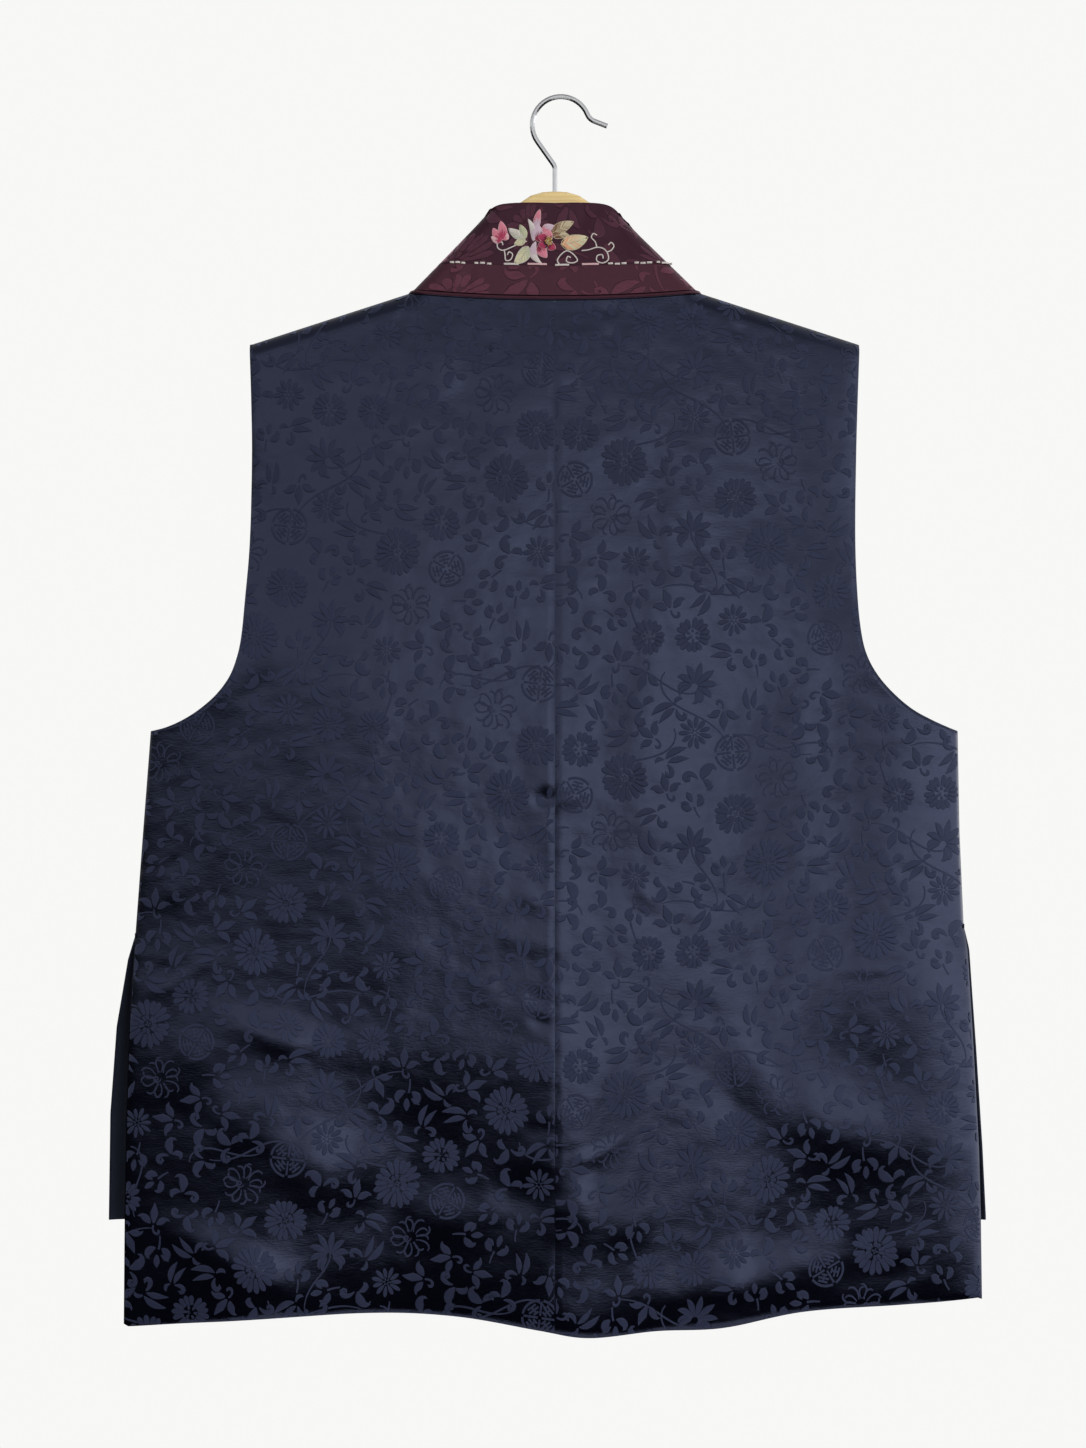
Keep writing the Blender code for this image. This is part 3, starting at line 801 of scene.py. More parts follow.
@dataclass(frozen=True)
class SilkFinish:
    """Silk satin or its woven figure: fine threads, a coloured sheen and a faint drift of colour, with painted
    light towards the hem and painted shade along the figures' edges where asked.
    """

    name: str
    colour: Triple
    drift: Triple
    roughness: float
    sheen_tint: Triple
    specular: float
    sheen: float = 0.0
    sheen_roughness: float = 0.4
    # rim: a step in height at a figure's edges, and a dark line along them painted as shade, at the given
    # share of the colour
    rim: bool = False
    rim_height: float = 0.00012
    painted_rim_shade: float = 0.25
    rim_roughness: float = 0.22
    # painted light: how much the colour is lightened at the hem and in the middle, and between which heights
    painted_hem_light: float = 1.0
    painted_middle_light: float = 0.9
    painted_light_heights: Pair = (-0.28, -0.62)
    thread_grain: Triple = (2600.0, 300.0, 420.0)
    thread_height: float = 0.00004
    slub_grain: Triple = (260.0, 300.0, 900.0)
    slub_height: float = 0.00006
    slub_shade: float = 0.38
    slub_roughness: float = 0.05
    cloud_grain: Triple = (24.0, 24.0, 30.0)
    cloud_height: float = 0.0009
    drift_grain: float = 9.0

    def make(self) -> Material:
        """Builds the material.

        Returns:
            The material.
        """
        bench = MaterialBench(self.name)
        slubs = bench.noise(self.slub_grain, 3.0)
        colour = bench.blend(bench.noise((self.drift_grain,) * 3, 3.0), self.colour, self.drift)
        shade = bench.ranged(slubs, 1 - self.slub_shade, 1 + self.slub_shade)
        colour = bench.blend(1.0, colour, shade, blend_type="MULTIPLY")
        rough = bench.ranged(slubs, self.roughness - self.slub_roughness, self.roughness + self.slub_roughness)
        normal = bench.bump(bench.noise(self.thread_grain, 2.0), self.thread_height, 0.5)
        normal = bench.bump(slubs, self.slub_height, under=normal)
        normal = bench.bump(bench.noise(self.cloud_grain, 2.0), self.cloud_height, under=normal)
        if self.painted_hem_light != 1.0:
            # painted light: the figures' colour turns a little lighter towards the hem, standing for how the
            # light falls there
            height = bench.add("SeparateXYZ", {0: bench.mapped("Object")}).outputs["Z"]
            gain = bench.ranged(height, self.painted_middle_light, self.painted_hem_light, *self.painted_light_heights)
            colour = bench.blend(1.0, colour, gain, blend_type="MULTIPLY")
        if self.rim:
            # the woven edge: a step in height, and a dark line along it painted as the step's shade, by the
            # distance from a stroke's middle
            across = bench.add("SeparateXYZ", {0: bench.mapped("UV")}).outputs["X"]
            aside = bench.add("Math", {0: across, 1: 0.5}, operation="SUBTRACT").outputs[0]
            off = bench.add("Math", {0: aside}, operation="ABSOLUTE").outputs[0]
            rise = bench.ranged(off, 0.0, 1.0, 0.5, 0.3, interpolation_type="SMOOTHSTEP")
            normal = bench.bump(rise, self.rim_height, under=normal)
            # painted shade: the colour darkens in a line near the stroke's edge
            line = bench.ranged(off, 0.0, 1.0, 0.36, 0.46)
            colour = bench.blend(line, colour, tuple(self.painted_rim_shade * part for part in self.colour))
            rough = bench.add("Mix", {0: line, 2: rough, 3: self.rim_roughness}).outputs[0]
        return bench.feed(
            Base_Color=colour,
            Roughness=rough,
            Specular_IOR_Level=self.specular,
            Specular_Tint=(*self.sheen_tint, 1.0),
            Sheen_Weight=self.sheen,
            Sheen_Roughness=self.sheen_roughness,
            Sheen_Tint=(*self.sheen_tint, 1.0),
            Normal=normal,
        )


@dataclass(frozen=True)
class WoodFinish:
    """Pale varnished wood with its grain along the board."""

    light: Triple = (0.90, 0.69, 0.33)
    dark: Triple = (0.74, 0.50, 0.19)
    grain: Triple = (14.0, 90.0, 160.0)
    grain_height: float = 0.0002
    rings: Triple = (6.0, 30.0, 60.0)

    def make(self) -> Material:
        """Builds the material.

        Returns:
            The material.
        """
        bench = MaterialBench("pale_wood_dressed")
        grain = bench.noise(self.grain, 5.0, Roughness=0.6)
        inputs = {"Vector": bench.mapped("Object", self.rings), "Scale": 1.4, "Distortion": 5.0, "Detail": 3.0}
        rings = bench.add("TexWave", inputs, bands_direction="Z").outputs["Fac"]
        both = bench.add("Math", {0: grain, 1: rings}, operation="MULTIPLY").outputs[0]
        return bench.feed(
            Base_Color=bench.blend(both, self.light, self.dark),
            Roughness=bench.ranged(grain, 0.32, 0.5),
            Coat_Weight=0.35,
            Coat_Roughness=0.15,
            Normal=bench.bump(grain, self.grain_height, 0.25),
        )


@dataclass(frozen=True)
class SteelFinish:
    """Drawn steel wire, plated bright, with faint marks along it."""

    colour: Triple = (0.84, 0.85, 0.87)
    worn: Triple = (0.66, 0.67, 0.69)
    marks: Triple = (900.0, 900.0, 260.0)
    mark_height: float = 0.00003

    def make(self) -> Material:
        """Builds the material.

        Returns:
            The material.
        """
        bench = MaterialBench("steel_wire_dressed")
        marks = bench.noise(self.marks, 4.0)
        return bench.feed(
            Base_Color=bench.blend(marks, self.colour, self.worn),
            Roughness=bench.ranged(marks, 0.14, 0.3),
            Metallic=1.0,
            Normal=bench.bump(marks, self.mark_height, 0.3),
        )


@dataclass(frozen=True)
class ThreadFinish:
    """Embroidery silk of one colour, with the strands' slight change of tone."""

    name: str
    colour: Triple
    shadow: float = 0.72
    strands: Triple = (1400.0, 1400.0, 1400.0)
    strand_height: float = 0.00008

    def make(self) -> Material:
        """Builds the material.

        Returns:
            The material.
        """
        bench = MaterialBench("thread_" + self.name)
        strands = bench.noise(self.strands, 2.0)
        return bench.feed(
            Base_Color=bench.blend(strands, tuple(self.shadow * part for part in self.colour), self.colour),
            Roughness=bench.ranged(strands, 0.38, 0.6),
            Specular_IOR_Level=0.6,
            Sheen_Weight=0.25,
            Sheen_Roughness=0.35,
            Normal=bench.bump(strands, self.strand_height, 0.4),
        )


NAVY_GROUND = SilkFinish(
    "navy_ground", (0.0010, 0.0012, 0.0034), (0.0016, 0.0016, 0.0042), 0.15, (0.50, 0.58, 0.98), 1.0
)
# the figures' colour is lightened towards the hem as painted light
NAVY_FIGURE = SilkFinish(
    "navy_figure", (0.0050, 0.0060, 0.0138), (0.0180, 0.0200, 0.0452), 0.42, (0.50, 0.60, 1.0), 0.82,
    sheen=0.9, rim=True, painted_hem_light=1.45,
)
NAVY_EDGE = SilkFinish(
    "navy_edge", (0.0040, 0.0050, 0.0120), (0.0050, 0.0060, 0.0140), 0.55, (0.50, 0.62, 1.0), 0.40
)
LINING = SilkFinish(
    "lining", (0.0045, 0.0052, 0.0105), (0.0060, 0.0066, 0.0125), 0.50, (0.60, 0.70, 1.0), 0.45, sheen=0.4
)
BURGUNDY_UPPER = SilkFinish(
    "burgundy_upper", (0.018, 0.0040, 0.0080), (0.024, 0.0055, 0.0100), 0.36, (1.0, 0.52, 0.74), 0.66
)
BURGUNDY_LOWER = SilkFinish(
    "burgundy_lower", (0.036, 0.0095, 0.0155), (0.044, 0.0120, 0.0190), 0.38, (1.0, 0.54, 0.74), 0.72
)
# dark threads beside the collar's piping: painted shade
PIPING_PAINTED_SHADE = SilkFinish(
    "piping_painted_shade", (0.0020, 0.0010, 0.0020), (0.0028, 0.0014, 0.0026), 0.70, (0.8, 0.6, 0.8), 0.10
)
UPPER_FIGURE = SilkFinish(
    "upper_figure", (0.060, 0.0195, 0.0320), (0.070, 0.0225, 0.0370), 0.55, (1.0, 0.58, 0.75), 0.50,
    sheen=0.8, rim=True, rim_height=0.0002,
)
LOWER_FIGURE = replace(
    UPPER_FIGURE, name="lower_figure", colour=(0.094, 0.0290, 0.0455), drift=(0.106, 0.0325, 0.0510)
)


# Pieces


def wear(data: bpy.types.ID, *finishes: Material) -> None:
    """Gives a mesh or a curve its materials, in the order of its faces' or threads' numbers.

    Args:
        data: the mesh or curve.
        finishes: its materials.
    """
    data.materials.clear()
    for finish in finishes:
        data.materials.append(finish)


def linked(name: str, data: bpy.types.ID) -> Piece:
    """A new object in the scene.

    Args:
        name: the object's name.
        data: what it shows.

    Returns:
        The object.
    """
    thing = bpy.data.objects.new(name, data)
    bpy.context.scene.collection.objects.link(thing)
    return thing


def new_piece(name: str, data: Mesh) -> Piece:
    """Links a piece that hangs with the rest.

    Args:
        name: the piece's name.
        data: its mesh.

    Returns:
        The piece.
    """
    piece = linked(name, data)
    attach(piece, BODY)
    return piece


def reported(piece: Piece) -> Piece:
    """Logs a finished piece and hands it on."""
    log.info("%s: %d faces", piece.name, len(piece.data.polygons))
    return piece


def mesh_from(shape: bmesh.types.BMesh, name: str) -> Mesh:
    """Ends a bmesh as a mesh.

    Args:
        shape: the bmesh, which is freed.
        name: the mesh's name.

    Returns:
        The mesh.
    """
    mesh = bpy.data.meshes.new(name)
    shape.to_mesh(mesh)
    shape.free()
    return mesh


def worked_out(thing: Piece) -> Mesh:
    """The mesh that an object makes once its modifiers or its bevel are worked out.

    Args:
        thing: the object.

    Returns:
        A new mesh.
    """
    graph = bpy.context.evaluated_depsgraph_get()
    made = thing.evaluated_get(graph)
    return bpy.data.meshes.new_from_object(made, preserve_all_data_layers=True, depsgraph=graph)


def apply_modifiers(piece: Piece) -> None:
    """Replaces a piece's mesh by what its modifiers make of it.

    Args:
        piece: the piece.
    """
    made, old = worked_out(piece), piece.data
    piece.modifiers.clear()
    piece.data = made
    bpy.data.meshes.remove(old)


def grid_mesh(name: str, points: Array, cut: Array, turned: bool, kept: Array | None = None) -> Mesh:
    """A grid laid out by a table of points.

    Args:
        name: the mesh's name.
        points: places in metres, by column and row.
        cut: places on the flat cut in metres, by column and row, for its UV map.
        turned: whether its faces are turned round.
        kept: which faces stay, by column and row.

    Returns:
        The mesh.
    """
    columns, rows = points.shape[0] - 1, points.shape[1] - 1
    grid = bmesh.new()
    bmesh.ops.create_grid(grid, x_segments=columns, y_segments=rows, size=1.0)
    if kept is not None:
        dropped = []
        for face in grid.faces:
            centre = face.calc_center_median()
            if not kept[int((centre.x + 1) / 2 * columns), int((centre.y + 1) / 2 * rows)]:
                dropped.append(face)
        bmesh.ops.delete(grid, geom=dropped, context="FACES")
    if turned:
        bmesh.ops.reverse_faces(grid, faces=grid.faces)
    mesh = mesh_from(grid, name)
    flat = np.empty(len(mesh.vertices) * 3)
    mesh.vertices.foreach_get("co", flat)
    flat = flat.reshape(-1, 3)
    column = np.rint((flat[:, 0] + 1) / 2 * columns).astype(int)
    row = np.rint((flat[:, 1] + 1) / 2 * rows).astype(int)
    mesh.vertices.foreach_set("co", points[column, row].ravel())
    corner = np.empty(len(mesh.loops), int)
    mesh.loops.foreach_get("vertex_index", corner)
    layer = mesh.uv_layers.new(name="cut")
    layer.data.foreach_set("uv", cut[column, row][corner].ravel())
    mesh.update()
    mesh.shade_smooth()
    return mesh


def add_wall(
    piece: Piece, thickness: float, inner: int, rim: int, rounding: float, even: bool = True
) -> None:
    """Gives an outer face its wall and rounds the edges.

    Args:
        piece: the piece.
        thickness: the wall's thickness, which goes inwards.
        inner: number of the inner face's finish.
        rim: number of the edges' finish.
        rounding: radius of the edges.
        even: whether the wall keeps its thickness where it bends.
    """
    wall = piece.modifiers.new("wall", "SOLIDIFY")
    wall.thickness = thickness * MM
    wall.offset = -1.0
    wall.use_even_offset = even
    wall.material_offset = inner
    wall.material_offset_rim = rim
    edge = piece.modifiers.new("edge", "BEVEL")
    edge.width = rounding * MM
    edge.segments = 2
    edge.limit_method = "ANGLE"
    edge.angle_limit = math.radians(SHARPEST_UNROUNDED)
    edge.harden_normals = True
    apply_modifiers(piece)


def grid_area(points: Array) -> float:
    """Area in square metres of a grid of flat places in millimetres, by its cells.

    Args:
        points: the places, by column and row.

    Returns:
        The area.
    """
    a = points[1:, 1:] - points[:-1, :-1]
    b = points[:-1, 1:] - points[1:, :-1]
    return float(np.abs(a[..., 0] * b[..., 1] - a[..., 1] * b[..., 0]).sum() / 2) * MM * MM


@dataclass
class Panel:
    """One of the four body panels: silk damask outside, plain lining inside."""

    form: GarmentForm
    side: Side
    layer: Layer
    inner_columns: int
    outer_columns: int
    rows_below_slit: int
    rows_below_arm: int
    rows_beside_arm: int
    thickness: float = 1.6
    rounding: float = 0.2
    top_crowding: float = 1.35
    tuck: float = 0.4
    half_gap: float = 0.03
    rim: float = 0.15
    turned_width: float = 0.2
    turned_depth: float = 0.3
    seam_depth: float = 0.12
    top_rise: float = 0.05
    top_depth: float = 0.4
    under_collar: float = 1.5
    figure_margin: float = 0.9
    back_seam_margin: float = 0.53
    front_edge_margin: float = 0.6
    collar_margin: float = 2.2
    shoulder_margin: float = 1.4
    front_neck_margin: float = 3.0
    over_shoulder: float = 60.0

    @property
    def name(self) -> str:
        """The node that this panel stands for."""
        return f"{self.layer.name}_{self.side.name}".lower()

    def shares(self) -> tuple[Array, Array]:
        """For each row, which stretch of the panel it lies in and its share of that stretch.

        Returns:
            The stretches and the shares.
        """
        below = np.linspace(0, 1, self.rows_below_slit + 1)
        middle = np.linspace(0, 1, self.rows_below_arm + 1)[1:]
        beside = np.linspace(0, 1, self.rows_beside_arm + 1)[1:] ** self.top_crowding
        stretch = np.concatenate([np.zeros(len(below)), np.ones(len(middle)), np.full(len(beside), 2)])
        return stretch, np.concatenate([below, middle, beside])

    def heights(self, hem: Array, top: Array) -> Array:
        """Heights of all the rows between a hem and a top, given for each row.

        Args:
            hem: heights of the hem.
            top: heights of the top.

        Returns:
            The rows' heights.
        """
        stretch, share = self.shares()
        slit = SLIT_TOP[self.side]
        low = np.select([stretch == 0, stretch == 1], [hem, slit], ARMPIT_Z)
        high = np.select([stretch == 0, stretch == 1], [slit, ARMPIT_Z], top)
        return low + (high - low) * share

    def neck_x(self) -> Array:
        """Where the column under the neck point runs, for each row.

        Returns:
            Its distances from the centre line.
        """
        start = NECK_POINT[0] + self.tuck
        rows = self.heights(self.form.hem_z(start, self.side, self.layer), self.form.shoulder_z(start))
        if self.layer is Layer.BACK:
            return np.full(rows.shape, start)
        return self.form.front_seam_x(rows) + self.tuck

    def column_x(self) -> Array:
        """Distances from the centre line, by column and row.

        Returns:
            The distances.
        """
        armpit = SIDE_EDGES[self.side][0][1]
        edge_z = self.heights(self.form.hem_z(armpit, self.side, self.layer), SHOULDER_TIP[1])
        edge_x = self.form.half_width(edge_z, self.side, self.layer)
        neck = self.neck_x()
        first = self.half_gap if self.layer is Layer.BACK else FRONT_EDGE_GAP
        inner = np.linspace(0, 1, self.inner_columns + 1)[:-1, None]
        outer = np.linspace(0, 1, self.outer_columns + 1)[:, None]
        return np.vstack([first + (neck - first) * inner, neck + (edge_x - neck) * outer])

    def row_z(self, x: Array) -> Array:
        """Heights, by column and row, under the distances from the centre line.

        Args:
            x: the distances, by column and row.

        Returns:
            The heights.
        """
        form, side, layer = self.form, self.side, self.layer
        z = np.empty_like(x)
        for column, places in enumerate(x):
            if column >= self.inner_columns:
                top = form.shoulder_z(np.maximum(places, NECK_POINT[0] + self.tuck))
            elif layer is Layer.BACK:
                top = form.back_neck_z(places) - self.tuck
            else:
                top = form.shoulder_z(NECK_POINT[0] + self.tuck)
            z[column] = self.heights(form.hem_z(places, side, layer), top)
        z[-1] = self.heights(form.hem_z(SIDE_EDGES[side][0][1], side, layer), SHOULDER_TIP[1])
        return z

    def layout(self) -> tuple[Array, Array, Array]:
        """Distances, depths and heights of the outer face with its turned edges, by column and row.

        Returns:
            The distances, the depths and the heights.
        """
        x = self.column_x()
        z = self.row_z(x)
        depth = self.form.depth(x, z, self.side, self.layer, self.rim)
        stretch, share = self.shares()
        seam = (stretch == 1) | ((stretch == 0) & (share == 1.0))
        x = np.vstack([x, np.where(seam, x[-1], x[-1] + self.turned_width)])
        z = np.vstack([z, z[-1:]])
        depth = np.vstack([depth, np.where(seam, self.seam_depth, depth[-1] - self.turned_depth)])
        under_shoulder = np.arange(len(x)) >= self.inner_columns
        top_depth = np.where(under_shoulder, self.seam_depth, depth[:, -1] - self.top_depth)
        x = np.hstack([x, x[:, -1:]])
        z = np.hstack([z, z[:, -1:] + self.top_rise])
        return x, np.hstack([depth, top_depth[:, None]]), z

    def build(self, outer: Material, lining: Material, edge: Material) -> Piece:
        """Args:
            outer: finish of the outer face.
            lining: finish of the inner face.
            edge: finish of the turned edges.

        Returns:
            The piece.
        """
        x, depth, z = self.layout()
        points = self.form.place(x, depth, z, self.side, self.layer)
        cut = np.stack([x * self.side.value, z], -1) * MM
        kept = np.ones((len(x) - 1, x.shape[1] - 1), bool)
        flat = np.stack([x, z], -1)
        area = grid_area(flat)
        if self.layer is Layer.FRONT:
            opening = COLLAR_END + self.tuck + self.under_collar
            kept[: self.inner_columns] = z[: self.inner_columns, 1:] <= opening
            area -= grid_area(flat[: self.inner_columns + 1, -self.rows_beside_arm :])
        turned = (self.layer is Layer.BACK) == (self.side is Side.LEFT)
        mesh = grid_mesh(self.name, points, cut, turned, kept)
        piece = new_piece(self.name + "_silk", mesh)
        wear(mesh, outer, lining, edge)
        add_wall(piece, self.thickness, 1, 2, self.rounding)
        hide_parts(self.name)
        width = float(x.max() - x.min()) * MM
        length = float(z.max() - z.min()) * MM
        area = min(area, width * length)
        return reported(piece)

    def trimmed(self, x: Array, z: Array) -> tuple[Array, Array]:
        """Draws places of figures that lie off the panel in to its outline.

        Args:
            x: distances from the centre line.
            z: heights.

        Returns:
            The distances and the heights.
        """
        form, side, layer = self.form, self.side, self.layer
        z = np.clip(z, LOWEST, SHOULDER_TIP[1] + self.over_shoulder)
        inner = np.full_like(x, self.back_seam_margin)
        if layer is Layer.FRONT:
            edge = FRONT_EDGE_GAP + self.front_edge_margin
            inner = np.where(z > COLLAR_END, form.front_seam_x(z) + self.collar_margin, edge)
        outer = form.half_width(np.minimum(z, SHOULDER_TIP[1] - 1), side, layer) - self.figure_margin
        x = np.clip(x, inner, outer)
        neck = form.back_neck_z(x) - self.collar_margin
        if layer is Layer.FRONT:
            neck = NECK_POINT[1] - self.front_neck_margin
        top = np.where(x < NECK_POINT[0], neck, form.shoulder_z(x) - self.shoulder_margin)
        return x, np.clip(z, form.hem_z(x, side, layer) + self.figure_margin, top)

    def over(self, x: Array, z: Array, lift: Array) -> Array:
        """Places over the panel's face in metres."""
        return self.form.on_surface(x * self.side.value, z, self.layer, lift)


@dataclass
class CollarBand:
    """A band of the collar, round from one front end over the back of the neck to the other.

    Its flat length and the whole collar's flat height are in metres.
    """

    form: GarmentForm
    name: str
    low: float
    high: float
    strips: int
    thickness: float = 0.9
    rounding: float = 0.5
    spacing: float = 2.0
    stops_per_row: int = 40
    flat_length: float = 0.72
    flat_height: float = 0.07
    end_margin: float = 1.5
    edge_margin: float = 1.2

    def stops(self) -> Array:
        """Evenly spaced stations along the band, signed by side.

        Returns:
            The stations from one end to the other.
        """
        last = len(COLLAR_ROWS) - 1
        fine = np.linspace(0, last, last * self.stops_per_row + 1)
        middle = collar_point(self.form, fine, np.full_like(fine, 0.5))
        reach = np.concatenate([[0], np.cumsum(np.linalg.norm(np.diff(middle, axis=0), axis=1))]) / MM
        count = int(reach[-1] / self.spacing)
        half = np.interp(np.linspace(0, reach[-1], count + 1), reach, fine)
        return np.concatenate([-half[:0:-1], half])

    def reach(self) -> float:
        """Length from the middle of the back to a front end."""
        return self.spacing * (len(self.stops()) - 1) / 2

    def build(self, silk: Material) -> Piece:
        """Args:
            silk: finish of all its faces.

        Returns:
            The piece.
        """
        stops = self.stops()
        shares = np.linspace(self.low, self.high, self.strips + 1)
        points = collar_point(self.form, stops[:, None], shares[None, :])
        along = np.linspace(-self.flat_length / 2, self.flat_length / 2, len(stops))
        cut = np.stack(np.broadcast_arrays(along[:, None], shares[None, :] * self.flat_height), -1)
        mesh = grid_mesh(self.name, points, cut, True)
        piece = new_piece(self.name + "_silk", mesh)
        wear(mesh, silk, silk)
        add_wall(piece, self.thickness, 0, 1, self.rounding, even=False)
        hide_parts(self.name)
        return reported(piece)

    def trimmed(self, x: Array, z: Array) -> tuple[Array, Array]:
        """Draws places of figures that lie off the band in to its edges.

        Args:
            x: places along the band.
            z: places across it.

        Returns:
            The places along and across.
        """
        ends = self.reach() - self.end_margin
        low = self.low * COLLAR_HEIGHT + self.edge_margin
        high = self.high * COLLAR_HEIGHT - self.edge_margin
        return np.clip(x, -ends, ends), np.clip(z, low, high)

    def over(self, x: Array, z: Array, lift: Array) -> Array:
        """Places over the band's face in metres.

        Args:
            x: places along the band.
            z: places across it.
            lift: how far over the face.

        Returns:
            The points.
        """
        stops = self.stops()
        along = np.linspace(-self.reach(), self.reach(), len(stops))
        return collar_point(self.form, np.interp(x, along, stops), z / COLLAR_HEIGHT, lift)


@dataclass
class SeamTape:
    """The pressed-open allowances under the centre back seam."""

    form: GarmentForm
    half_width: float = 8.0
    thickness: float = 0.5
    rounding: float = 0.1
    under: float = 1.72
    above_hem: float = 2.5
    below_neck: float = 3.0
    columns: int = 8
    rows: int = 180

    def build(self, silk: Material) -> Piece:
        """Builds the allowances as one thin strip inside the garment.

        Args:
            silk: finish of all its faces.

        Returns:
            The piece.
        """
        across = np.linspace(-self.half_width, self.half_width, self.columns + 1)[:, None]
        low = self.form.hem_z(across, Side.LEFT, Layer.BACK) + self.above_hem
        high = self.form.back_neck_z(np.abs(across)) - self.below_neck
        z = low + (high - low) * np.linspace(0, 1, self.rows + 1)
        x = np.broadcast_to(across, z.shape)
        left, right = (self.form.depth(np.abs(x), z, side, Layer.BACK) for side in Side)
        depth = np.where(x >= 0, left, right) - self.under
        points = self.form.place(x, depth, z, Side.LEFT, Layer.BACK)
        mesh = grid_mesh("seam_tape", points, np.stack([x, z], -1) * MM, True)
        piece = new_piece("centre_seam_tape", mesh)
        wear(mesh, silk)
        add_wall(piece, self.thickness, 0, 0, self.rounding)
        return reported(piece)


def collar_point(form: GarmentForm, stop: Array, share: Array | float, lift: Array | float = 0.0) -> Array:
    """Points on the collar's outer face.

    Args:
        form: the garment's surface.
        stop: stations, signed by side. The fold over the shoulder is at FOLD_ROW.
        share: from 0 at the neck seam to 1 at the free edge.
        lift: how far over the face.

    Returns:
        Points in metres.
    """
    stop, share, lift = np.broadcast_arrays(*(np.asarray(part, float) for part in (stop, share, lift)))
    position = np.abs(stop) * COLLAR_STEPS
    index = np.arange(len(form.collar))
    seam_x, seam_z, edge_x, edge_z = (np.interp(position, index, column) for column in form.collar.T)
    near_fold = np.exp(-(((np.abs(stop) - FOLD_ROW) / RIGHT_CORNER_REACH) ** 2))
    edge_z = edge_z - np.where(stop < 0, RIGHT_CORNER_DROP * near_fold, 0.0)
    x = seam_x + (edge_x - seam_x) * share
    z = seam_z + (edge_z - seam_z) * share
    points = np.empty(x.shape + (3,))
    for side in Side:
        for layer in Layer:
            half = (stop >= 0) == (side is Side.LEFT)
            chosen = half & ((np.abs(stop) <= FOLD_ROW) == (layer is Layer.BACK))
            if chosen.any():
                depth = form.depth(x[chosen], z[chosen], side, layer) + lift[chosen]
                points[chosen] = form.place(x[chosen], depth, z[chosen], side, layer)
    return points


def thread_curve(name: str, radius: float, sides: int, *finishes: Material) -> Curve:
    """An empty curve whose lines become round threads.

    Args:
        name: the curve's name.
        radius: the threads' radius.
        sides: how finely they are rounded.
        finishes: materials, in the order of the threads' numbers.

    Returns:
        The curve.
    """
    data = bpy.data.curves.new(name, "CURVE")
    data.dimensions = "3D"
    data.bevel_depth = radius * MM
    data.bevel_resolution = sides
    data.use_fill_caps = True
    wear(data, *finishes)
    return data


def lay_thread(data: Curve, points: Array, finish: int = 0, radius: float = 1.0) -> None:
    """Lays one thread.

    Args:
        data: the curve that it becomes a line of.
        points: its places in metres.
        finish: its finish number.
        radius: its share of the curve's radius.
    """
    line = data.splines.new("POLY")
    line.points.add(len(points) - 1)
    flat = np.hstack([points, np.ones((len(points), 1))])
    line.points.foreach_set("co", flat.ravel())
    line.points.foreach_set("radius", np.full(len(points), radius))
    line.material_index = finish
    line.use_smooth = True


def thread_mesh(data: Curve) -> Mesh:
    """Turns the threads of a curve into a mesh.

    Args:
        data: the curve, which is removed.

    Returns:
        The mesh.
    """
    holder = linked(data.name, data)
    mesh = worked_out(holder)
    bpy.data.objects.remove(holder)
    bpy.data.curves.remove(data)
    return mesh


@dataclass
class CollarPiping:
    """The covered cord in the neck seam, with a sunk dark line either side of it, painted as the shade beside
    the cord.
    """

    form: GarmentForm
    radius: float = 1.35
    sunk: float = 0.5
    stops: int = 170
    shade_line_radius: float = 0.5
    shade_line_sunk: float = 0.3
    shade_line_shares: Pair = (-0.026, 0.022)

    def build(self, silk: Material, seam: Material) -> Piece:
        """Builds the cord along the seam and the dark lines of painted shade beside it.

        Args:
            silk: finish of the cord.
            seam: finish of the lines, dark threads painted as the shade beside the cord.

        Returns:
            The piece.
        """
        half = np.linspace(0, len(COLLAR_ROWS) - 1, self.stops)
        stops = np.concatenate([-half[:0:-1], half])
        data = thread_curve("collar_piping_silk", self.radius, 3, silk, seam)
        lay_thread(data, collar_point(self.form, stops, 0.0, -self.sunk))
        # painted shade: a dark thread laid either side of the cord
        for share in self.shade_line_shares:
            line = collar_point(self.form, stops, share, -self.shade_line_sunk)
            lay_thread(data, line, 1, self.shade_line_radius / self.radius)
        piece = new_piece("collar_piping_silk", thread_mesh(data))
        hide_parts("collar_piping")
        return reported(piece)


# Woven figures of the damask


@dataclass(frozen=True)
class Stroke:
    """A woven mark like a brush stroke: a bending line whose width swells and tapers."""

    x: float
    z: float
    heading: float
    length: float
    bend: float = 0.0
    curl: float = 0.0
    widths: tuple[float, ...] = (0.4, 1.2, 0.4)
    segments: int = 6

    def line(self) -> tuple[Array, Array, Array]:
        """Points of the middle line, their sideways directions and the widths there.

        Returns:
            The points, the directions and the widths.
        """
        share = np.linspace(0, 1, self.segments + 1)
        heading = self.heading + self.bend * share + self.curl * share**3
        step = self.length / self.segments
        middle = (heading[1:] + heading[:-1]) / 2
        x = self.x + np.concatenate([[0], np.cumsum(np.cos(middle) * step)])
        z = self.z + np.concatenate([[0], np.cumsum(np.sin(middle) * step)])
        width = np.interp(share, np.linspace(0, 1, len(self.widths)), self.widths)
        sideways = np.stack([-np.sin(heading), np.cos(heading)], 1)
        return np.stack([x, z], 1), sideways, width


def petals(
    count: int, start: float, length: float, widths: tuple[float, ...], turn: float = 0.0, segments: int = 5
) -> list[Stroke]:
    """A ring of single petals round the origin.

    Args:
        count: how many petals.
        start: how far out they start.
        length: how long they are, about.
        widths: widths from foot to tip.
        turn: direction of the first.
        segments: stretches in each.

    Returns:
        The petals' strokes.
    """
    ring = []
    for number in range(count):
        angle = turn + 2 * math.pi * number / count
        uneven = 1 + 0.1 * math.sin(number * 2.4 + turn)
        foot = (start * math.cos(angle), start * math.sin(angle))
        ring.append(Stroke(*foot, angle, length * uneven, widths=widths, segments=segments))
    return ring


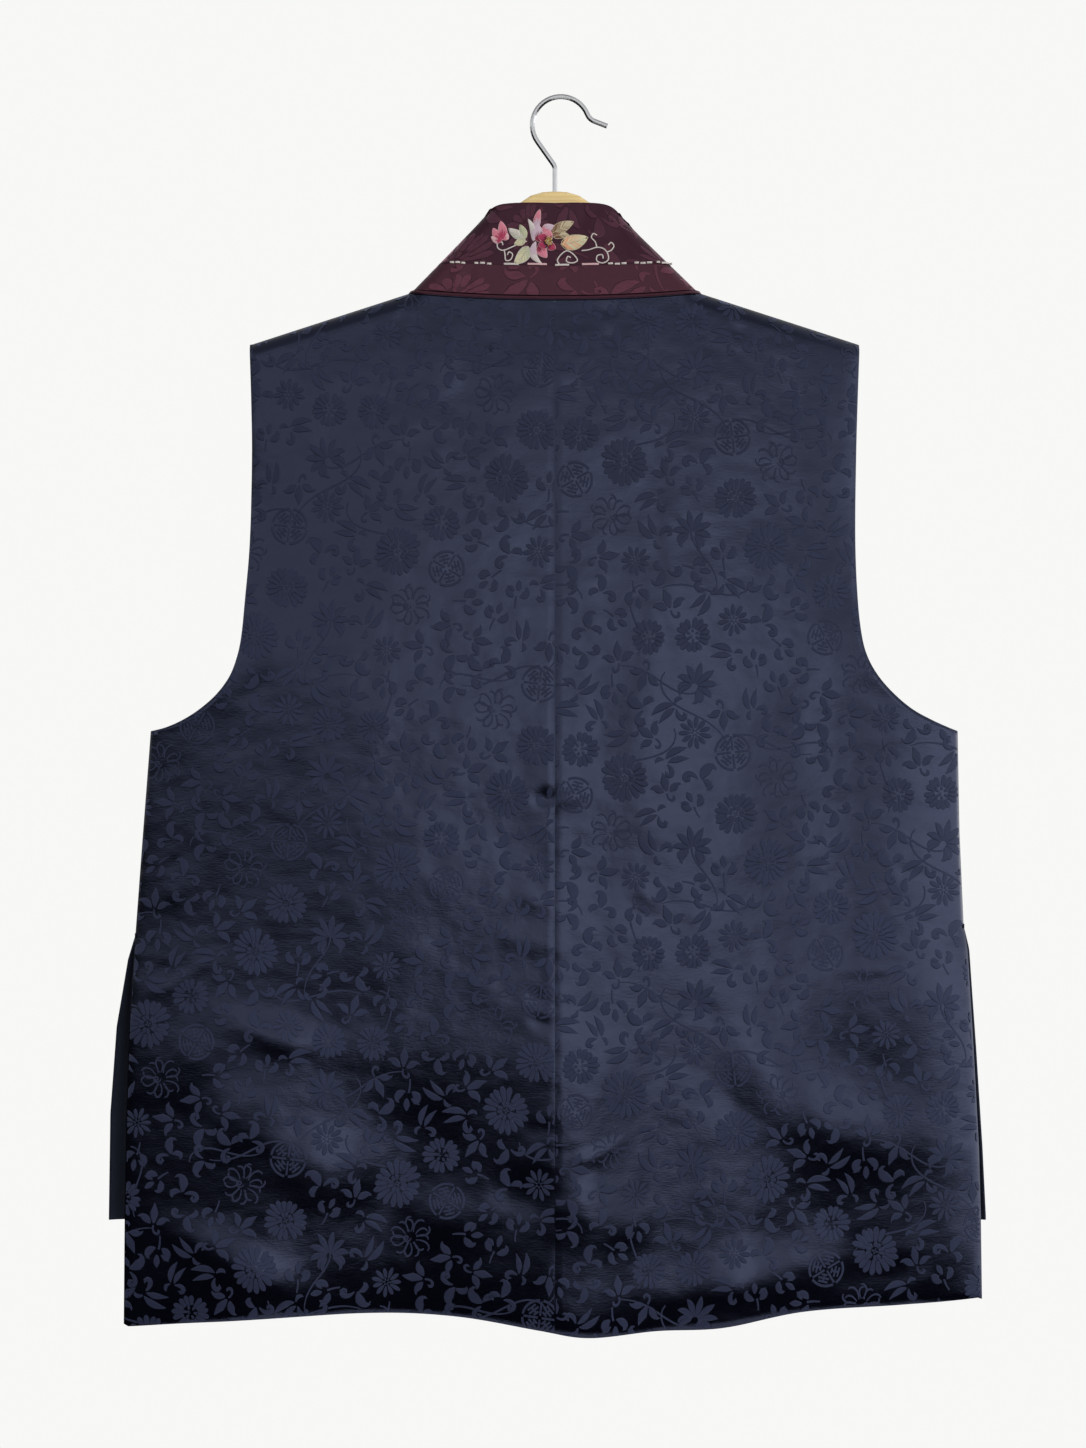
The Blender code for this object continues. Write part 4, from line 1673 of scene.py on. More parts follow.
def full_petals(
    count: int, start: float, length: float, width: float, turn: float, lobes: int = 3
) -> list[Stroke]:
    """A ring of broad petals, each of a few lobes parted by woven lines.

    Args:
        count: how many petals.
        start: how far out they start.
        length: how long they are, about.
        width: how broad each is.
        turn: direction of the first.
        lobes: strokes in each petal.

    Returns:
        The petals' strokes.
    """
    marks = []
    share = width / lobes
    widths = tuple(part * share for part in (0.72, 0.95, 1.2, 1.42, 1.3, 0.5))
    for number in range(count):
        way = turn + 2 * math.pi * number / count + 0.08 * math.sin(number * 2.9)
        size = 1 + 0.1 * math.sin(number * 2.1 + turn)
        for lobe in range(lobes):
            aside = lobe - (lobes - 1) / 2
            foot = aside * share * 0.8
            x = start * math.cos(way) - foot * math.sin(way)
            z = start * math.sin(way) + foot * math.cos(way)
            long = length * size * (1.0 - 0.1 * abs(aside))
            marks.append(Stroke(x, z, way + 0.2 * aside, long, 0.12 * aside, 0.3 * aside, widths, 5))
    return marks


def spider_flower() -> list[Stroke]:
    """A flower of thin hooked petals round a coil.

    Returns:
        Its strokes.
    """
    marks = [Stroke(0.4, 0.0, 0.5, 17.0, 5.4, 4.6, (0.9, 1.4, 1.4, 1.2), 15)]
    widths = (0.8, 1.2, 1.4, 1.7, 1.1)
    for number in range(17):
        way = 2 * math.pi * number / 17 + 0.12 * math.sin(number * 1.7)
        hand = 1 if math.sin(number * 2.3) > -0.3 else -1
        length = 13.5 + 3.6 * math.sin(number * 3.1)
        foot = (4.4 * math.cos(way), 4.4 * math.sin(way))
        marks.append(Stroke(*foot, way - 0.5 * hand, length, 0.8 * hand, 1.7 * hand, widths, 7))
    return marks


def peony() -> list[Stroke]:
    """A full flower of broad scalloped petals in two rings.

    Returns:
        Its strokes.
    """
    marks = full_petals(6, 6.6, 10.6, 10.4, 0.2)
    marks += full_petals(5, 2.7, 4.2, 5.0, 0.6, 2)
    return marks + petals(4, 0.4, 1.9, (0.9, 1.5, 0.8), segments=3)


def rose() -> list[Stroke]:
    """A smaller flower with an open whorl at its heart.

    Returns:
        Its strokes.
    """
    marks = full_petals(5, 5.0, 8.8, 9.8, 0.0)
    marks += petals(6, 2.3, 2.9, (1.2, 2.3, 1.8), 0.3, 4)
    return marks + [Stroke(0.3, 0.0, 0.5, 5.0, 3.4, 2.6, (0.6, 1.0, 0.8), 7)]


def daisy() -> list[Stroke]:
    """A small flower of round-ended petals."""
    ring = petals(11, 3.4, 8.2, (1.2, 2.8, 3.7, 3.5, 1.2), 0.15)
    return ring + petals(6, 1.0, 2.2, (0.8, 1.5, 0.8), 0.0, 3)


def lotus() -> list[Stroke]:
    """A flower seen from the side, its pointed petals in a fan, with two leaves under it.

    Returns:
        Its strokes.
    """
    marks = []
    for spread in (-1.8, -1.25, -0.72, -0.24, 0.24, 0.72, 1.25, 1.8):
        way = math.pi / 2 - spread
        foot = (2.4 * math.cos(way), 2.4 * math.sin(way) - 4)
        length = 17.5 - 3.2 * abs(spread)
        marks.append(Stroke(*foot, way, length, -0.5 * spread, -0.35 * spread, (1.2, 3.8, 5.6, 5.0, 0.4), 6))
    for hand in (-1, 1):
        way = math.pi / 2 - hand * 2.2
        marks.append(Stroke(hand * 2.4, -5.8, way, 12.0, -hand * 0.5, -hand * 1.6, (1.2, 4.2, 3.8, 1.0), 7))
    return marks


def fret_roundel() -> list[Stroke]:
    """A ring filled with a plain key fret of bars.

    Returns:
        Its strokes.
    """
    marks = []
    radius, bar = 13.6, (1.8, 1.8)
    for quarter in range(4):
        way = quarter * math.pi / 2
        ring, turn = way + 0.1, math.pi / 2 - 0.2
        rim = (radius * math.cos(ring), radius * math.sin(ring))
        marks.append(Stroke(*rim, ring + math.pi / 2, radius * turn, turn, 0, (2.1, 2.1), 9))
        marks.append(Stroke(1.5 * math.cos(way), 1.5 * math.sin(way), way, 11.2, 0, 0, bar, 4))
        across = way + math.pi / 4
        out = np.array([math.cos(across), math.sin(across)])
        aside = np.array([math.sin(across), -math.cos(across)])
        for reach, half in ((4.6, 2.3), (7.4, 4.5), (10.2, 3.9)):
            foot = reach * out + half * aside
            marks.append(Stroke(*foot, across + math.pi / 2, 2 * half, 0, 0, bar, 3))
        marks.append(Stroke(*(4.6 * out), across, 5.4, 0, 0, (1.5, 1.5), 2))
    return marks


def curl_leaf(hand: int) -> list[Stroke]:
    """A leaf like a comma beside a scroll with a round end.

    Args:
        hand: 1 or -1, for the way it curls.

    Returns:
        Its strokes.
    """
    return [
        Stroke(-4.0, 0.8 * hand, 0.35 * hand, 17.5, 0.5 * hand, 2.6 * hand, (1.2, 6.0, 8.4, 6.4, 3.0, 0.6), 8),
        Stroke(-3.4, -1.8 * hand, -0.5 * hand, 18.0, -1.3 * hand, -5.0 * hand, (1.0, 3.2, 4.2, 3.8, 3.6), 11),
        Stroke(-4.4, 1.6 * hand, 2.0 * hand, 10.0, 0.9 * hand, 2.0 * hand, (1.1, 4.8, 5.4, 1.6), 6),
    ]


def ivy_leaf(hand: int) -> list[Stroke]:
    """A leaf of three points, parted by its veins, on a hooked stalk.

    Args:
        hand: 1 or -1, for the way it curls.

    Returns:
        Its strokes.
    """
    return [
        Stroke(-1.6, 0.0, 0.12 * hand, 15.0, -0.3 * hand, 0.4 * hand, (1.6, 5.4, 7.2, 4.0, 0.4), 6),
        Stroke(-2.0, 2.3 * hand, 1.0 * hand, 12.0, -0.5 * hand, 1.9 * hand, (1.2, 5.6, 6.4, 3.4, 0.4), 7),
        Stroke(-2.0, -2.3 * hand, -1.0 * hand, 11.4, 0.5 * hand, -1.9 * hand, (1.2, 5.4, 5.8, 2.6, 0.4), 7),
        Stroke(-3.2, 0.0, math.pi - 0.2 * hand, 12.0, 1.5 * hand, 3.4 * hand, (1.4, 1.7, 2.6, 1.8), 9),
    ]


def split_leaf(hand: int) -> list[Stroke]:
    """A long leaf parted by its vein, with a hooked leaf below it.

    Args:
        hand: 1 or -1, for the way it curls.

    Returns:
        Its strokes.
    """
    return [
        Stroke(-5.0, 1.9 * hand, 0.65 * hand, 18.5, -1.3 * hand, 0.4 * hand, (0.8, 5.0, 6.0, 3.8, 0.4), 7),
        Stroke(-4.4, -1.1 * hand, 0.1 * hand, 16.5, -0.7 * hand, 0.2 * hand, (0.8, 4.8, 5.2, 2.8, 0.4), 7),
        Stroke(-5.4, -2.2 * hand, -1.1 * hand, 13.5, -0.7 * hand, -4.0 * hand, (1.0, 3.8, 4.6, 3.6), 9),
        Stroke(-6.2, 1.6 * hand, 2.3 * hand, 8.0, 0.8 * hand, 1.8 * hand, (1.0, 3.6, 2.2), 6),
    ]


def leaf_pair(hand: int) -> list[Stroke]:
    """Two leaves either side of a stem that ends in a bud.

    Args:
        hand: 1 or -1, for the way it curls.

    Returns:
        Its strokes.
    """
    return [
        Stroke(-11.5, -2.0 * hand, 0.35 * hand, 10.0, -0.3 * hand, 0, (1.2, 1.5, 1.8), 4),
        Stroke(-3.2, 1.9 * hand, 1.3 * hand, 11.5, -0.9 * hand, -1.9 * hand, (1.0, 5.6, 6.8, 4.4, 1.0), 7),
        Stroke(-2.2, -2.4 * hand, -1.05 * hand, 12.0, 0.7 * hand, 2.0 * hand, (1.0, 5.4, 6.4, 4.0, 1.0), 7),
        Stroke(2.4, 0.2, 0.25 * hand, 9.0, 0, 0, (1.6, 4.8, 5.2, 0.6), 5),
        Stroke(1.4, 2.9 * hand, 0.95 * hand, 7.4, 0.5 * hand, 0, (1.0, 3.4, 0.4), 4),
    ]


# Flowers of the damask: what draws it, the room it needs, how often it comes, and whether it stands upright
FLOWERS = (
    (spider_flower, 16.5, 2, False),
    (peony, 17.0, 3, False),
    (rose, 13.4, 3, False),
    (daisy, 11.4, 3, False),
    (lotus, 15.0, 2, True),
    (fret_roundel, 14.6, 2, True),
)
LEAVES = (curl_leaf, ivy_leaf, split_leaf, leaf_pair)


@dataclass
class DamaskTile:
    """One repeat of the damask, which the next column of repeats takes up half a repeat higher."""

    width: float = 185.0
    height: float = 233.0
    leaves: int = 48
    leaf_room: float = 9.4
    vines: int = 8
    vine_lengths: Pair = (50.0, 80.0)
    sizes: Pair = (0.92, 1.06)
    most_tilt: float = 0.6
    spacing: float = 1.22
    rounds: int = 500
    push: float = 0.22
    overlap: float = 0.004
    broad_stroke: float = 2.5
    seed: int = 21

    def settle(self, rooms: Array, dice: np.random.Generator) -> Array:
        """Finds a place for each figure, moving those apart that crowd each other.

        Args:
            rooms: radius that each figure needs.
            dice: random numbers.

        Returns:
            The places in the repeat, one in each row.
        """
        places = dice.uniform(0, 1, (len(rooms), 2)) * (self.width, self.height)
        wanted = (rooms[:, None] + rooms[None, :]) * self.spacing
        apart_from_itself = np.eye(len(rooms)) * 1e6
        for _ in range(self.rounds):
            gap = places[:, None] - places[None, :]
            columns = np.rint(gap[..., 0] / self.width)
            gap[..., 0] -= columns * self.width
            gap[..., 1] -= columns * self.height / 2
            gap[..., 1] -= np.rint(gap[..., 1] / self.height) * self.height
            far = np.hypot(gap[..., 0], gap[..., 1]) + apart_from_itself
            crowding = np.maximum(0, wanted - far) / far
            places += self.push * (gap * crowding[..., None]).sum(1)
        return places

    def marks(self) -> list[tuple[Stroke, float, float, float, float]]:
        """Each stroke of the repeat with its figure's place, turn and size.

        Returns:
            A row for each stroke.
        """
        dice = np.random.default_rng(self.seed)
        plan = [(flower, room) for flower, room, count, _ in FLOWERS for _ in range(count)]
        plan += [(LEAVES[number % len(LEAVES)], self.leaf_room) for number in range(self.leaves)]
        upright = [flower for flower, _, _, stands in FLOWERS if stands]
        places = self.settle(np.array([room for _, room in plan]), dice)
        placed = []
        for (figure, _), (x, z) in zip(plan, places):
            tilt = (-self.most_tilt, self.most_tilt) if figure in upright else (0, FULL_TURN)
            turn = dice.uniform(*tilt)
            strokes = figure(1 if dice.random() < 0.5 else -1) if figure in LEAVES else figure()
            size = dice.uniform(*self.sizes)
            placed += [(stroke, x, z, turn, size) for stroke in strokes]
        for number in range(self.vines):
            sway = 1 if number % 2 else -1
            length = dice.uniform(*self.vine_lengths)
            vine = Stroke(0, 0, 0, length, 2.2 * sway, -3.4 * sway, (0.7, 1.4, 1.5, 1.4, 1.1), 20)
            x, z = dice.uniform(0, self.width), dice.uniform(0, self.height)
            placed.append((vine, x, z, dice.uniform(0, FULL_TURN), 1.0))
        return placed

    def build(self) -> Mesh:
        """Makes the repeat as a flat mesh in millimetres, with UVs across and along each stroke.

        Returns:
            The mesh.
        """
        cloth = bmesh.new()
        uv = cloth.loops.layers.uv.new("UVMap")
        spot, order = None, 0
        for stroke, x, z, turn, size in self.marks():
            order = order + 1 if (x, z) == spot else 1
            spot = (x, z)
            points, sideways, widths = stroke.line()
            across = 2 if max(stroke.widths) > self.broad_stroke else 1
            made = bmesh.ops.create_grid(cloth, x_segments=stroke.segments, y_segments=across, size=1.0)
            turned = np.array([[math.cos(turn), math.sin(turn)], [-math.sin(turn), math.cos(turn)]])
            for vertex in made["verts"]:
                index = round((vertex.co.x + 1) / 2 * stroke.segments)
                for loop in vertex.link_loops:
                    loop[uv].uv = (vertex.co.y / 2 + 0.5, index / stroke.segments)
                flat = points[index] + sideways[index] * widths[index] / 2 * vertex.co.y
                flat = flat @ turned * size + (x, z)
                vertex.co = (flat[0], order * self.overlap, flat[1])
        return mesh_from(cloth, "damask_repeat")


@dataclass
class WovenFigures:
    """Figures of the damask on one panel or band, cut off where it ends."""

    tile: DamaskTile
    repeat: Mesh
    cloth: Panel | CollarBand
    shift: Pair
    slot: str = "navy_silk"
    corner: Pair = (0.0, LOWEST)
    reach: Pair = (350.0, 870.0)
    scale: float = 1.0
    lift: float = 0.13
    smallest_face: float = 0.02

    def lay_repeats(self) -> bmesh.types.BMesh:
        """Lays the repeats over the cloth's box, half dropped from column to column.

        Returns:
            All the repeats in one bmesh.
        """
        cloth = bmesh.new()
        seen = 0
        wide, high = self.tile.width * self.scale, self.tile.height * self.scale
        for column in range(-1, math.ceil(self.reach[0] / wide) + 1):
            for row in range(-2, math.ceil(self.reach[1] / high) + 1):
                x = self.shift[0] + column * wide
                z = self.shift[1] + (row + 0.5 * (column % 2)) * high
                if x > self.reach[0] or z > self.reach[1]:
                    continue
                cloth.from_mesh(self.repeat)
                cloth.verts.ensure_lookup_table()
                added = cloth.verts[seen:]
                bmesh.ops.scale(cloth, verts=added, vec=(self.scale, 1.0, self.scale))
                bmesh.ops.translate(cloth, verts=added, vec=(self.corner[0] + x, 0.0, self.corner[1] + z))
                seen = len(cloth.verts)
        return cloth

    def build(self, figure: Material) -> Piece:
        """Cuts the laid repeats to the cloth and puts them on its face.

        Args:
            figure: finish of the figures.

        Returns:
            The piece.
        """
        cloth = self.lay_repeats()
        flat = np.array([vertex.co for vertex in cloth.verts])
        x, z = self.cloth.trimmed(flat[:, 0], flat[:, 2])
        for vertex, across, height in zip(cloth.verts, x, z):
            vertex.co = (across, vertex.co.y, height)
        gone = [face for face in cloth.faces if face.calc_area() < self.smallest_face]
        bmesh.ops.delete(cloth, geom=gone, context="FACES")
        flat = np.array([vertex.co for vertex in cloth.verts])
        for vertex, point in zip(cloth.verts, self.cloth.over(flat[:, 0], flat[:, 2], self.lift + flat[:, 1])):
            vertex.co = point
        cloth.normal_update()
        inward = [face for face in cloth.faces if face.normal.y * face.calc_center_median().y <= 0]
        bmesh.ops.reverse_faces(cloth, faces=inward)
        mesh = mesh_from(cloth, self.cloth.name + "_figures")
        mesh.shade_smooth()
        wear(mesh, figure)
        return reported(new_piece(mesh.name, mesh))


# Embroidery and stitches


class Thread(Enum):
    """Colours of the embroidery silks, in the order of their finish numbers."""

    DEEP_PINK = (0.52, 0.055, 0.135)
    PINK = (0.80, 0.27, 0.36)
    PALE_PINK = (0.86, 0.55, 0.58)
    CRIMSON = (0.30, 0.018, 0.065)
    LILAC = (0.72, 0.56, 0.66)
    SAGE = (0.56, 0.58, 0.40)
    CREAM = (0.80, 0.74, 0.50)
    BEIGE = (0.66, 0.56, 0.38)
    PEACH = (0.86, 0.46, 0.27)
    GOLD = (0.74, 0.46, 0.10)
    WHITE = (0.80, 0.73, 0.70)
    PLUM = (0.10, 0.016, 0.055)
    BROWN = (0.22, 0.10, 0.05)


THREADS = list(Thread)


@dataclass(frozen=True)
class Petal:
    """A shape filled with satin stitch and outlined. u runs to the viewer's right as seen from behind."""

    base: Pair
    tip: Pair
    width: float
    bend: float
    inner: Thread
    outer: Thread
    edge: Thread = Thread.PALE_PINK
    leaf: bool = False
    rise: float = 0.0
    dome: float = 0.6


@dataclass(frozen=True)
class Tendril:
    """A line of stem stitch through a few places."""

    places: tuple[Pair, ...]
    thread: Thread = Thread.WHITE
    radius: float = 1.15


SPRAY_PETALS = (
    # bud
    Petal((-38.6, -106.2), (-35.6, -100.8), 4.6, -0.8, Thread.PINK, Thread.PALE_PINK),
    Petal((-39.4, -106.6), (-47.2, -104.0), 5.0, 0.8, Thread.DEEP_PINK, Thread.PALE_PINK),
    Petal((-39.0, -106.4), (-45.8, -97.6), 6.0, 0.9, Thread.DEEP_PINK, Thread.PINK),
    Petal((-38.8, -106.0), (-40.2, -92.4), 6.2, -0.7, Thread.DEEP_PINK, Thread.PINK, rise=0.3),
    # pale leaves beside it
    Petal((-22.0, -105.2), (-26.0, -95.0), 4.8, -0.5, Thread.SAGE, Thread.SAGE, Thread.CREAM, True),
    Petal((-21.8, -104.8), (-34.4, -97.8), 6.2, 0.8, Thread.SAGE, Thread.WHITE, Thread.WHITE, True),
    Petal((-22.0, -105.8), (-30.2, -109.4), 5.0, 0.4, Thread.SAGE, Thread.CREAM, Thread.CREAM, True),
    Petal((-19.6, -111.2), (-30.0, -124.0), 8.6, 1.2, Thread.SAGE, Thread.CREAM, Thread.WHITE, True),
    # open flower: outer petals, then the inner ones
    Petal((-15.8, -107.0), (-19.8, -90.8), 4.2, -1.6, Thread.LILAC, Thread.WHITE, Thread.WHITE),
    Petal((-13.4, -98.0), (-11.2, -83.6), 4.8, 0.8, Thread.LILAC, Thread.PINK),
    Petal((-14.4, -107.4), (-9.4, -124.2), 5.0, -4.4, Thread.LILAC, Thread.WHITE, Thread.WHITE),
    Petal((-9.0, -108.0), (-13.6, -94.2), 8.2, 1.2, Thread.CRIMSON, Thread.LILAC),
    Petal((-8.4, -102.0), (-0.6, -95.6), 6.2, 1.8, Thread.PINK, Thread.LILAC),
    Petal((-10.4, -108.4), (-6.2, -119.6), 7.4, -1.6, Thread.CRIMSON, Thread.PINK),
    Petal((-4.8, -108.8), (0.4, -113.0), 5.6, -0.8, Thread.CRIMSON, Thread.DEEP_PINK, rise=0.2),
    Petal((-4.6, -107.0), (-12.8, -103.6), 6.4, -0.8, Thread.CRIMSON, Thread.DEEP_PINK, rise=0.4),
    Petal((-4.6, -108.0), (-12.4, -110.2), 6.0, 0.8, Thread.PLUM, Thread.DEEP_PINK, rise=0.4),
    Petal((-4.4, -107.0), (-4.0, -99.2), 6.2, 0.8, Thread.CRIMSON, Thread.PINK, rise=0.4),
    # veined leaf, peach leaf
    Petal((-3.6, -102.8), (13.8, -92.8), 8.0, 0.8, Thread.BROWN, Thread.BEIGE, Thread.BEIGE, True, dome=0.2),
    Petal((-1.0, -104.0), (10.6, -103.0), 5.0, 1.0, Thread.BROWN, Thread.BEIGE, Thread.BEIGE, True, dome=0.2),
    Petal((4.4, -109.8), (24.4, -104.4), 10.6, -0.8, Thread.PEACH, Thread.CREAM, Thread.CREAM, True),
)

SPRAY_TENDRILS = (
    Tendril(((-20.8, -107.2), (-29.0, -110.2), (-37.6, -113.8), (-42.0, -112.6), (-42.6, -108.6),
             (-39.4, -107.8), (-38.6, -110.2))),
    Tendril(((-37.6, -113.8), (-37.0, -117.4), (-36.4, -121.4), (-33.0, -121.0), (-31.4, -117.0),
             (-34.0, -115.2), (-35.2, -117.4))),
    Tendril(((-29.6, -120.8), (-26.6, -117.0), (-22.8, -113.0)), Thread.SAGE, 0.8),
    Tendril(((3.4, -124.6), (1.8, -121.4), (4.6, -117.0), (8.8, -114.4), (13.4, -116.8), (16.6, -121.4),
             (12.8, -123.4), (8.6, -122.2), (9.4, -118.6), (11.6, -119.4))),
    Tendril(((19.8, -114.2), (25.0, -113.6), (31.0, -111.8), (36.0, -112.8), (39.0, -116.4),
             (39.4, -121.0), (35.4, -123.4), (31.0, -121.8), (31.4, -118.0), (35.0, -117.4),
             (35.6, -120.2))),
    Tendril(((31.0, -111.8), (29.8, -107.6), (27.0, -104.4), (28.4, -101.6), (31.0, -102.6))),
    Tendril(((38.2, -115.4), (41.8, -113.8), (43.6, -110.6), (41.6, -108.2), (39.6, -110.0))),
    # veins of the outlined and the peach leaves
    Tendril(((-2.8, -102.4), (4.0, -98.8), (11.8, -93.8)), Thread.PLUM, 0.6),
    Tendril(((0.6, -100.6), (1.6, -97.6), (4.4, -95.6)), Thread.PLUM, 0.5),
    Tendril(((4.4, -98.6), (5.6, -95.4), (8.4, -93.4)), Thread.PLUM, 0.5),
    Tendril(((2.6, -99.8), (6.6, -99.8), (10.0, -97.8)), Thread.PLUM, 0.5),
    Tendril(((0.4, -103.6), (4.8, -102.6), (9.0, -102.8)), Thread.PLUM, 0.5),
    Tendril(((5.4, -109.4), (12.0, -107.6), (20.6, -105.4)), Thread.GOLD, 0.8),
    Tendril(((9.6, -108.4), (13.0, -110.4), (15.6, -110.8)), Thread.GOLD, 0.6),
)

# Running stitch over the seam between the two bands: u of each dash's ends
DASHES = (
    (-77.6, -74.8), (-73.6, -70.4), (-69.2, -66.6), (-59.4, -57.0), (-55.4, -52.0), (-50.2, -47.2),
    (-37.8, -26.8), (-20.2, -6.0), (0.2, 10.4), (20.0, 32.4), (39.4, 42.8), (44.4, 48.0),
    (49.4, 52.8), (59.0, 62.0), (63.4, 67.0), (68.2, 71.8), (75.4, 77.6), (79.0, 86.8),
)


@dataclass
class Embroidery:
    """Flower spray in satin and stem stitch on the collar, with the running stitch under it."""

    form: GarmentForm
    thread_radius: float = 0.24
    thread_pitch: float = 0.4
    outline_lift: float = 0.34
    fill_lift: float = 0.26
    vein_lift: float = 0.42
    leaf_stitch: float = 0.2
    heart: Pair = (-4.6, -107.6)
    stamens: int = 9
    knots: int = 20
    knots_middle: Pair = (-4.4, -107.4)
    seam_heights: tuple[Pair, ...] = ((0.0, -124.7), (40.0, -124.0), (78.0, -122.8))
    long_dash: float = 12.0
    seed: int = 11

    def __post_init__(self) -> None:
        """Lays out the silks and starts the curve that all the threads go into."""
        silks = [ThreadFinish(thread.name.lower(), thread.value).make() for thread in THREADS]
        self.data = thread_curve("collar_embroidery", self.thread_radius, 1, *silks)
        self.dice = np.random.default_rng(self.seed)

    def lay(self, u: Array, z: Array, lift: Array, thread: Thread, radius: float = 1.0) -> None:
        """Lays a thread along places on the collar's outer face.

        Args:
            u: places to the viewer's right.
            z: heights.
            lift: how far over the face.
            thread: its colour.
            radius: its share of the usual radius.
        """
        points = self.form.on_surface(-np.asarray(u), np.asarray(z), Layer.BACK, lift)
        lay_thread(self.data, points, THREADS.index(thread), radius)

    def stitch_petal(self, petal: Petal) -> None:
        """Fills a petal with long and short stitches, or a leaf with stitches slanted from its vein.

        Args:
            petal: the petal or leaf.
        """
        base, tip = np.array(petal.base), np.array(petal.tip)
        along = tip - base
        length = math.hypot(*along)
        normal = np.array([-along[1], along[0]]) / length
        share = np.linspace(0, 1, 25)
        middle = base + np.outer(share, along) + np.outer(4 * share * (1 - share), normal) * petal.bend
        half = petal.width / 2 * np.sin(math.pi * share**0.8) ** 0.72

        def lay(t: Array, v: Array, lift: Array, tone: Thread, radius: float = 1.0) -> None:
            """Lays a thread through shares of the length and of the half width.

            Args:
                t: shares of the length.
                v: shares of the half width.
                lift: how far over the face.
                tone: the thread's colour.
                radius: its share of the usual radius.
            """
            across = np.interp(t, share, half) * v
            u = np.interp(t, share, middle[:, 0]) + normal[0] * across
            z = np.interp(t, share, middle[:, 1]) + normal[1] * across
            self.lay(u, z, lift + petal.rise, tone, radius)

        rim = np.linspace(0, 1, 14)
        for hand in (-1.0, 1.0):
            lay(rim, np.full(14, 1.04 * hand), self.outline_lift, petal.edge, 1.1)
        if petal.leaf:
            count = int(length / self.thread_pitch)
            out = np.linspace(0.15, 0.98, 5)
            lift = self.fill_lift + petal.dome * np.sqrt(1 - out**2)
            for number in range(count):
                start = number / count * 0.9
                t = np.linspace(start, min(1.0, start + self.leaf_stitch), 5)
                for hand in (-1.0, 1.0):
                    tone = petal.outer if self.dice.random() < 0.15 + start else petal.inner
                    lay(t, np.linspace(0.06, 0.96, 5) * hand, lift, tone)
            lay(np.linspace(0.02, 0.86, 8), np.zeros(8), self.vein_lift + petal.dome, petal.edge, 0.7)
            return
        count = max(3, int(petal.width / self.thread_pitch))
        for number in range(count):
            v = -0.96 + 1.92 * number / (count - 1)
            split = 0.46 + self.dice.uniform(-0.14, 0.14)
            for low, high, tone in ((0.02, split, petal.inner), (split - 0.04, 0.98, petal.outer)):
                t = np.linspace(low, high, 6)
                dome = petal.dome * math.sqrt(1 - v * v) * np.sin(math.pi * np.clip(t, 0.06, 0.94)) ** 0.5
                lay(t, np.full(6, v), self.fill_lift + dome + self.dice.uniform(-0.04, 0.04), tone)

    def stitch_tendril(self, tendril: Tendril) -> None:
        """Lays a line of stem stitch as two strands side by side.

        Args:
            tendril: the line.
        """
        places = smoothed(tendril.places, 7)
        step = np.gradient(places, axis=0)
        sideways = np.stack([-step[:, 1], step[:, 0]], 1) / np.hypot(step[:, 0], step[:, 1])[:, None]
        run = np.arange(len(places))
        for shift in (-0.2, 0.2):
            u, z = (places + sideways * shift).T
            self.lay(u, z, 0.32 + 0.1 * np.sin(run * 1.9 + shift * 9), tendril.thread, tendril.radius)

    def stitch_heart(self) -> None:
        """Dark strokes and gold knots in the open flower's heart."""
        for number in range(self.stamens):
            way = 1.7 + number * 0.36
            reach = np.linspace(1.4, 5.2 + self.dice.uniform(-0.8, 0.8), 4)
            u, z = self.heart[0] + reach * math.cos(way), self.heart[1] + reach * math.sin(way)
            self.lay(u, z, np.array([1.5, 1.6, 1.5, 1.1]), Thread.PLUM, 0.8)
        ring = np.linspace(0, 5.0, 5)
        for number in range(self.knots):
            turn = number * 2.4
            reach = 0.62 * math.sqrt(number)
            u = self.knots_middle[0] + reach * math.cos(turn)
            z = self.knots_middle[1] + 1.25 * reach * math.sin(turn)
            tone = Thread.CREAM if number % 3 == 1 else Thread.GOLD
            self.lay(u + 0.4 * np.cos(ring), z + 0.4 * np.sin(ring), 1.75 + ring * 0.05, tone, 1.2)

    def stitch_seam(self) -> None:
        """The running stitch along the seam between the bands."""
        heights = np.array(self.seam_heights)
        bow = 0.12 + 0.42 * np.sin(np.linspace(0, math.pi, 7)) ** 0.5
        for number, (start, end) in enumerate(DASHES):
            u = np.linspace(start, end, 7)
            z = read(heights, np.abs(u), 1) + 0.25 * math.sin(number * 2.1)
            tone = Thread.PALE_PINK if end - start > self.long_dash else Thread.WHITE
            for shift in (-0.36, 0.36):
                self.lay(u, z + shift, bow, tone, 1.75)

    def build(self) -> Piece:
        """Builds all the embroidery as one piece.

        Returns:
            The piece.
        """
        for petal in SPRAY_PETALS:
            self.stitch_petal(petal)
        for tendril in SPRAY_TENDRILS:
            self.stitch_tendril(tendril)
        self.stitch_heart()
        self.stitch_seam()
        return reported(new_piece("collar_embroidery", thread_mesh(self.data)))


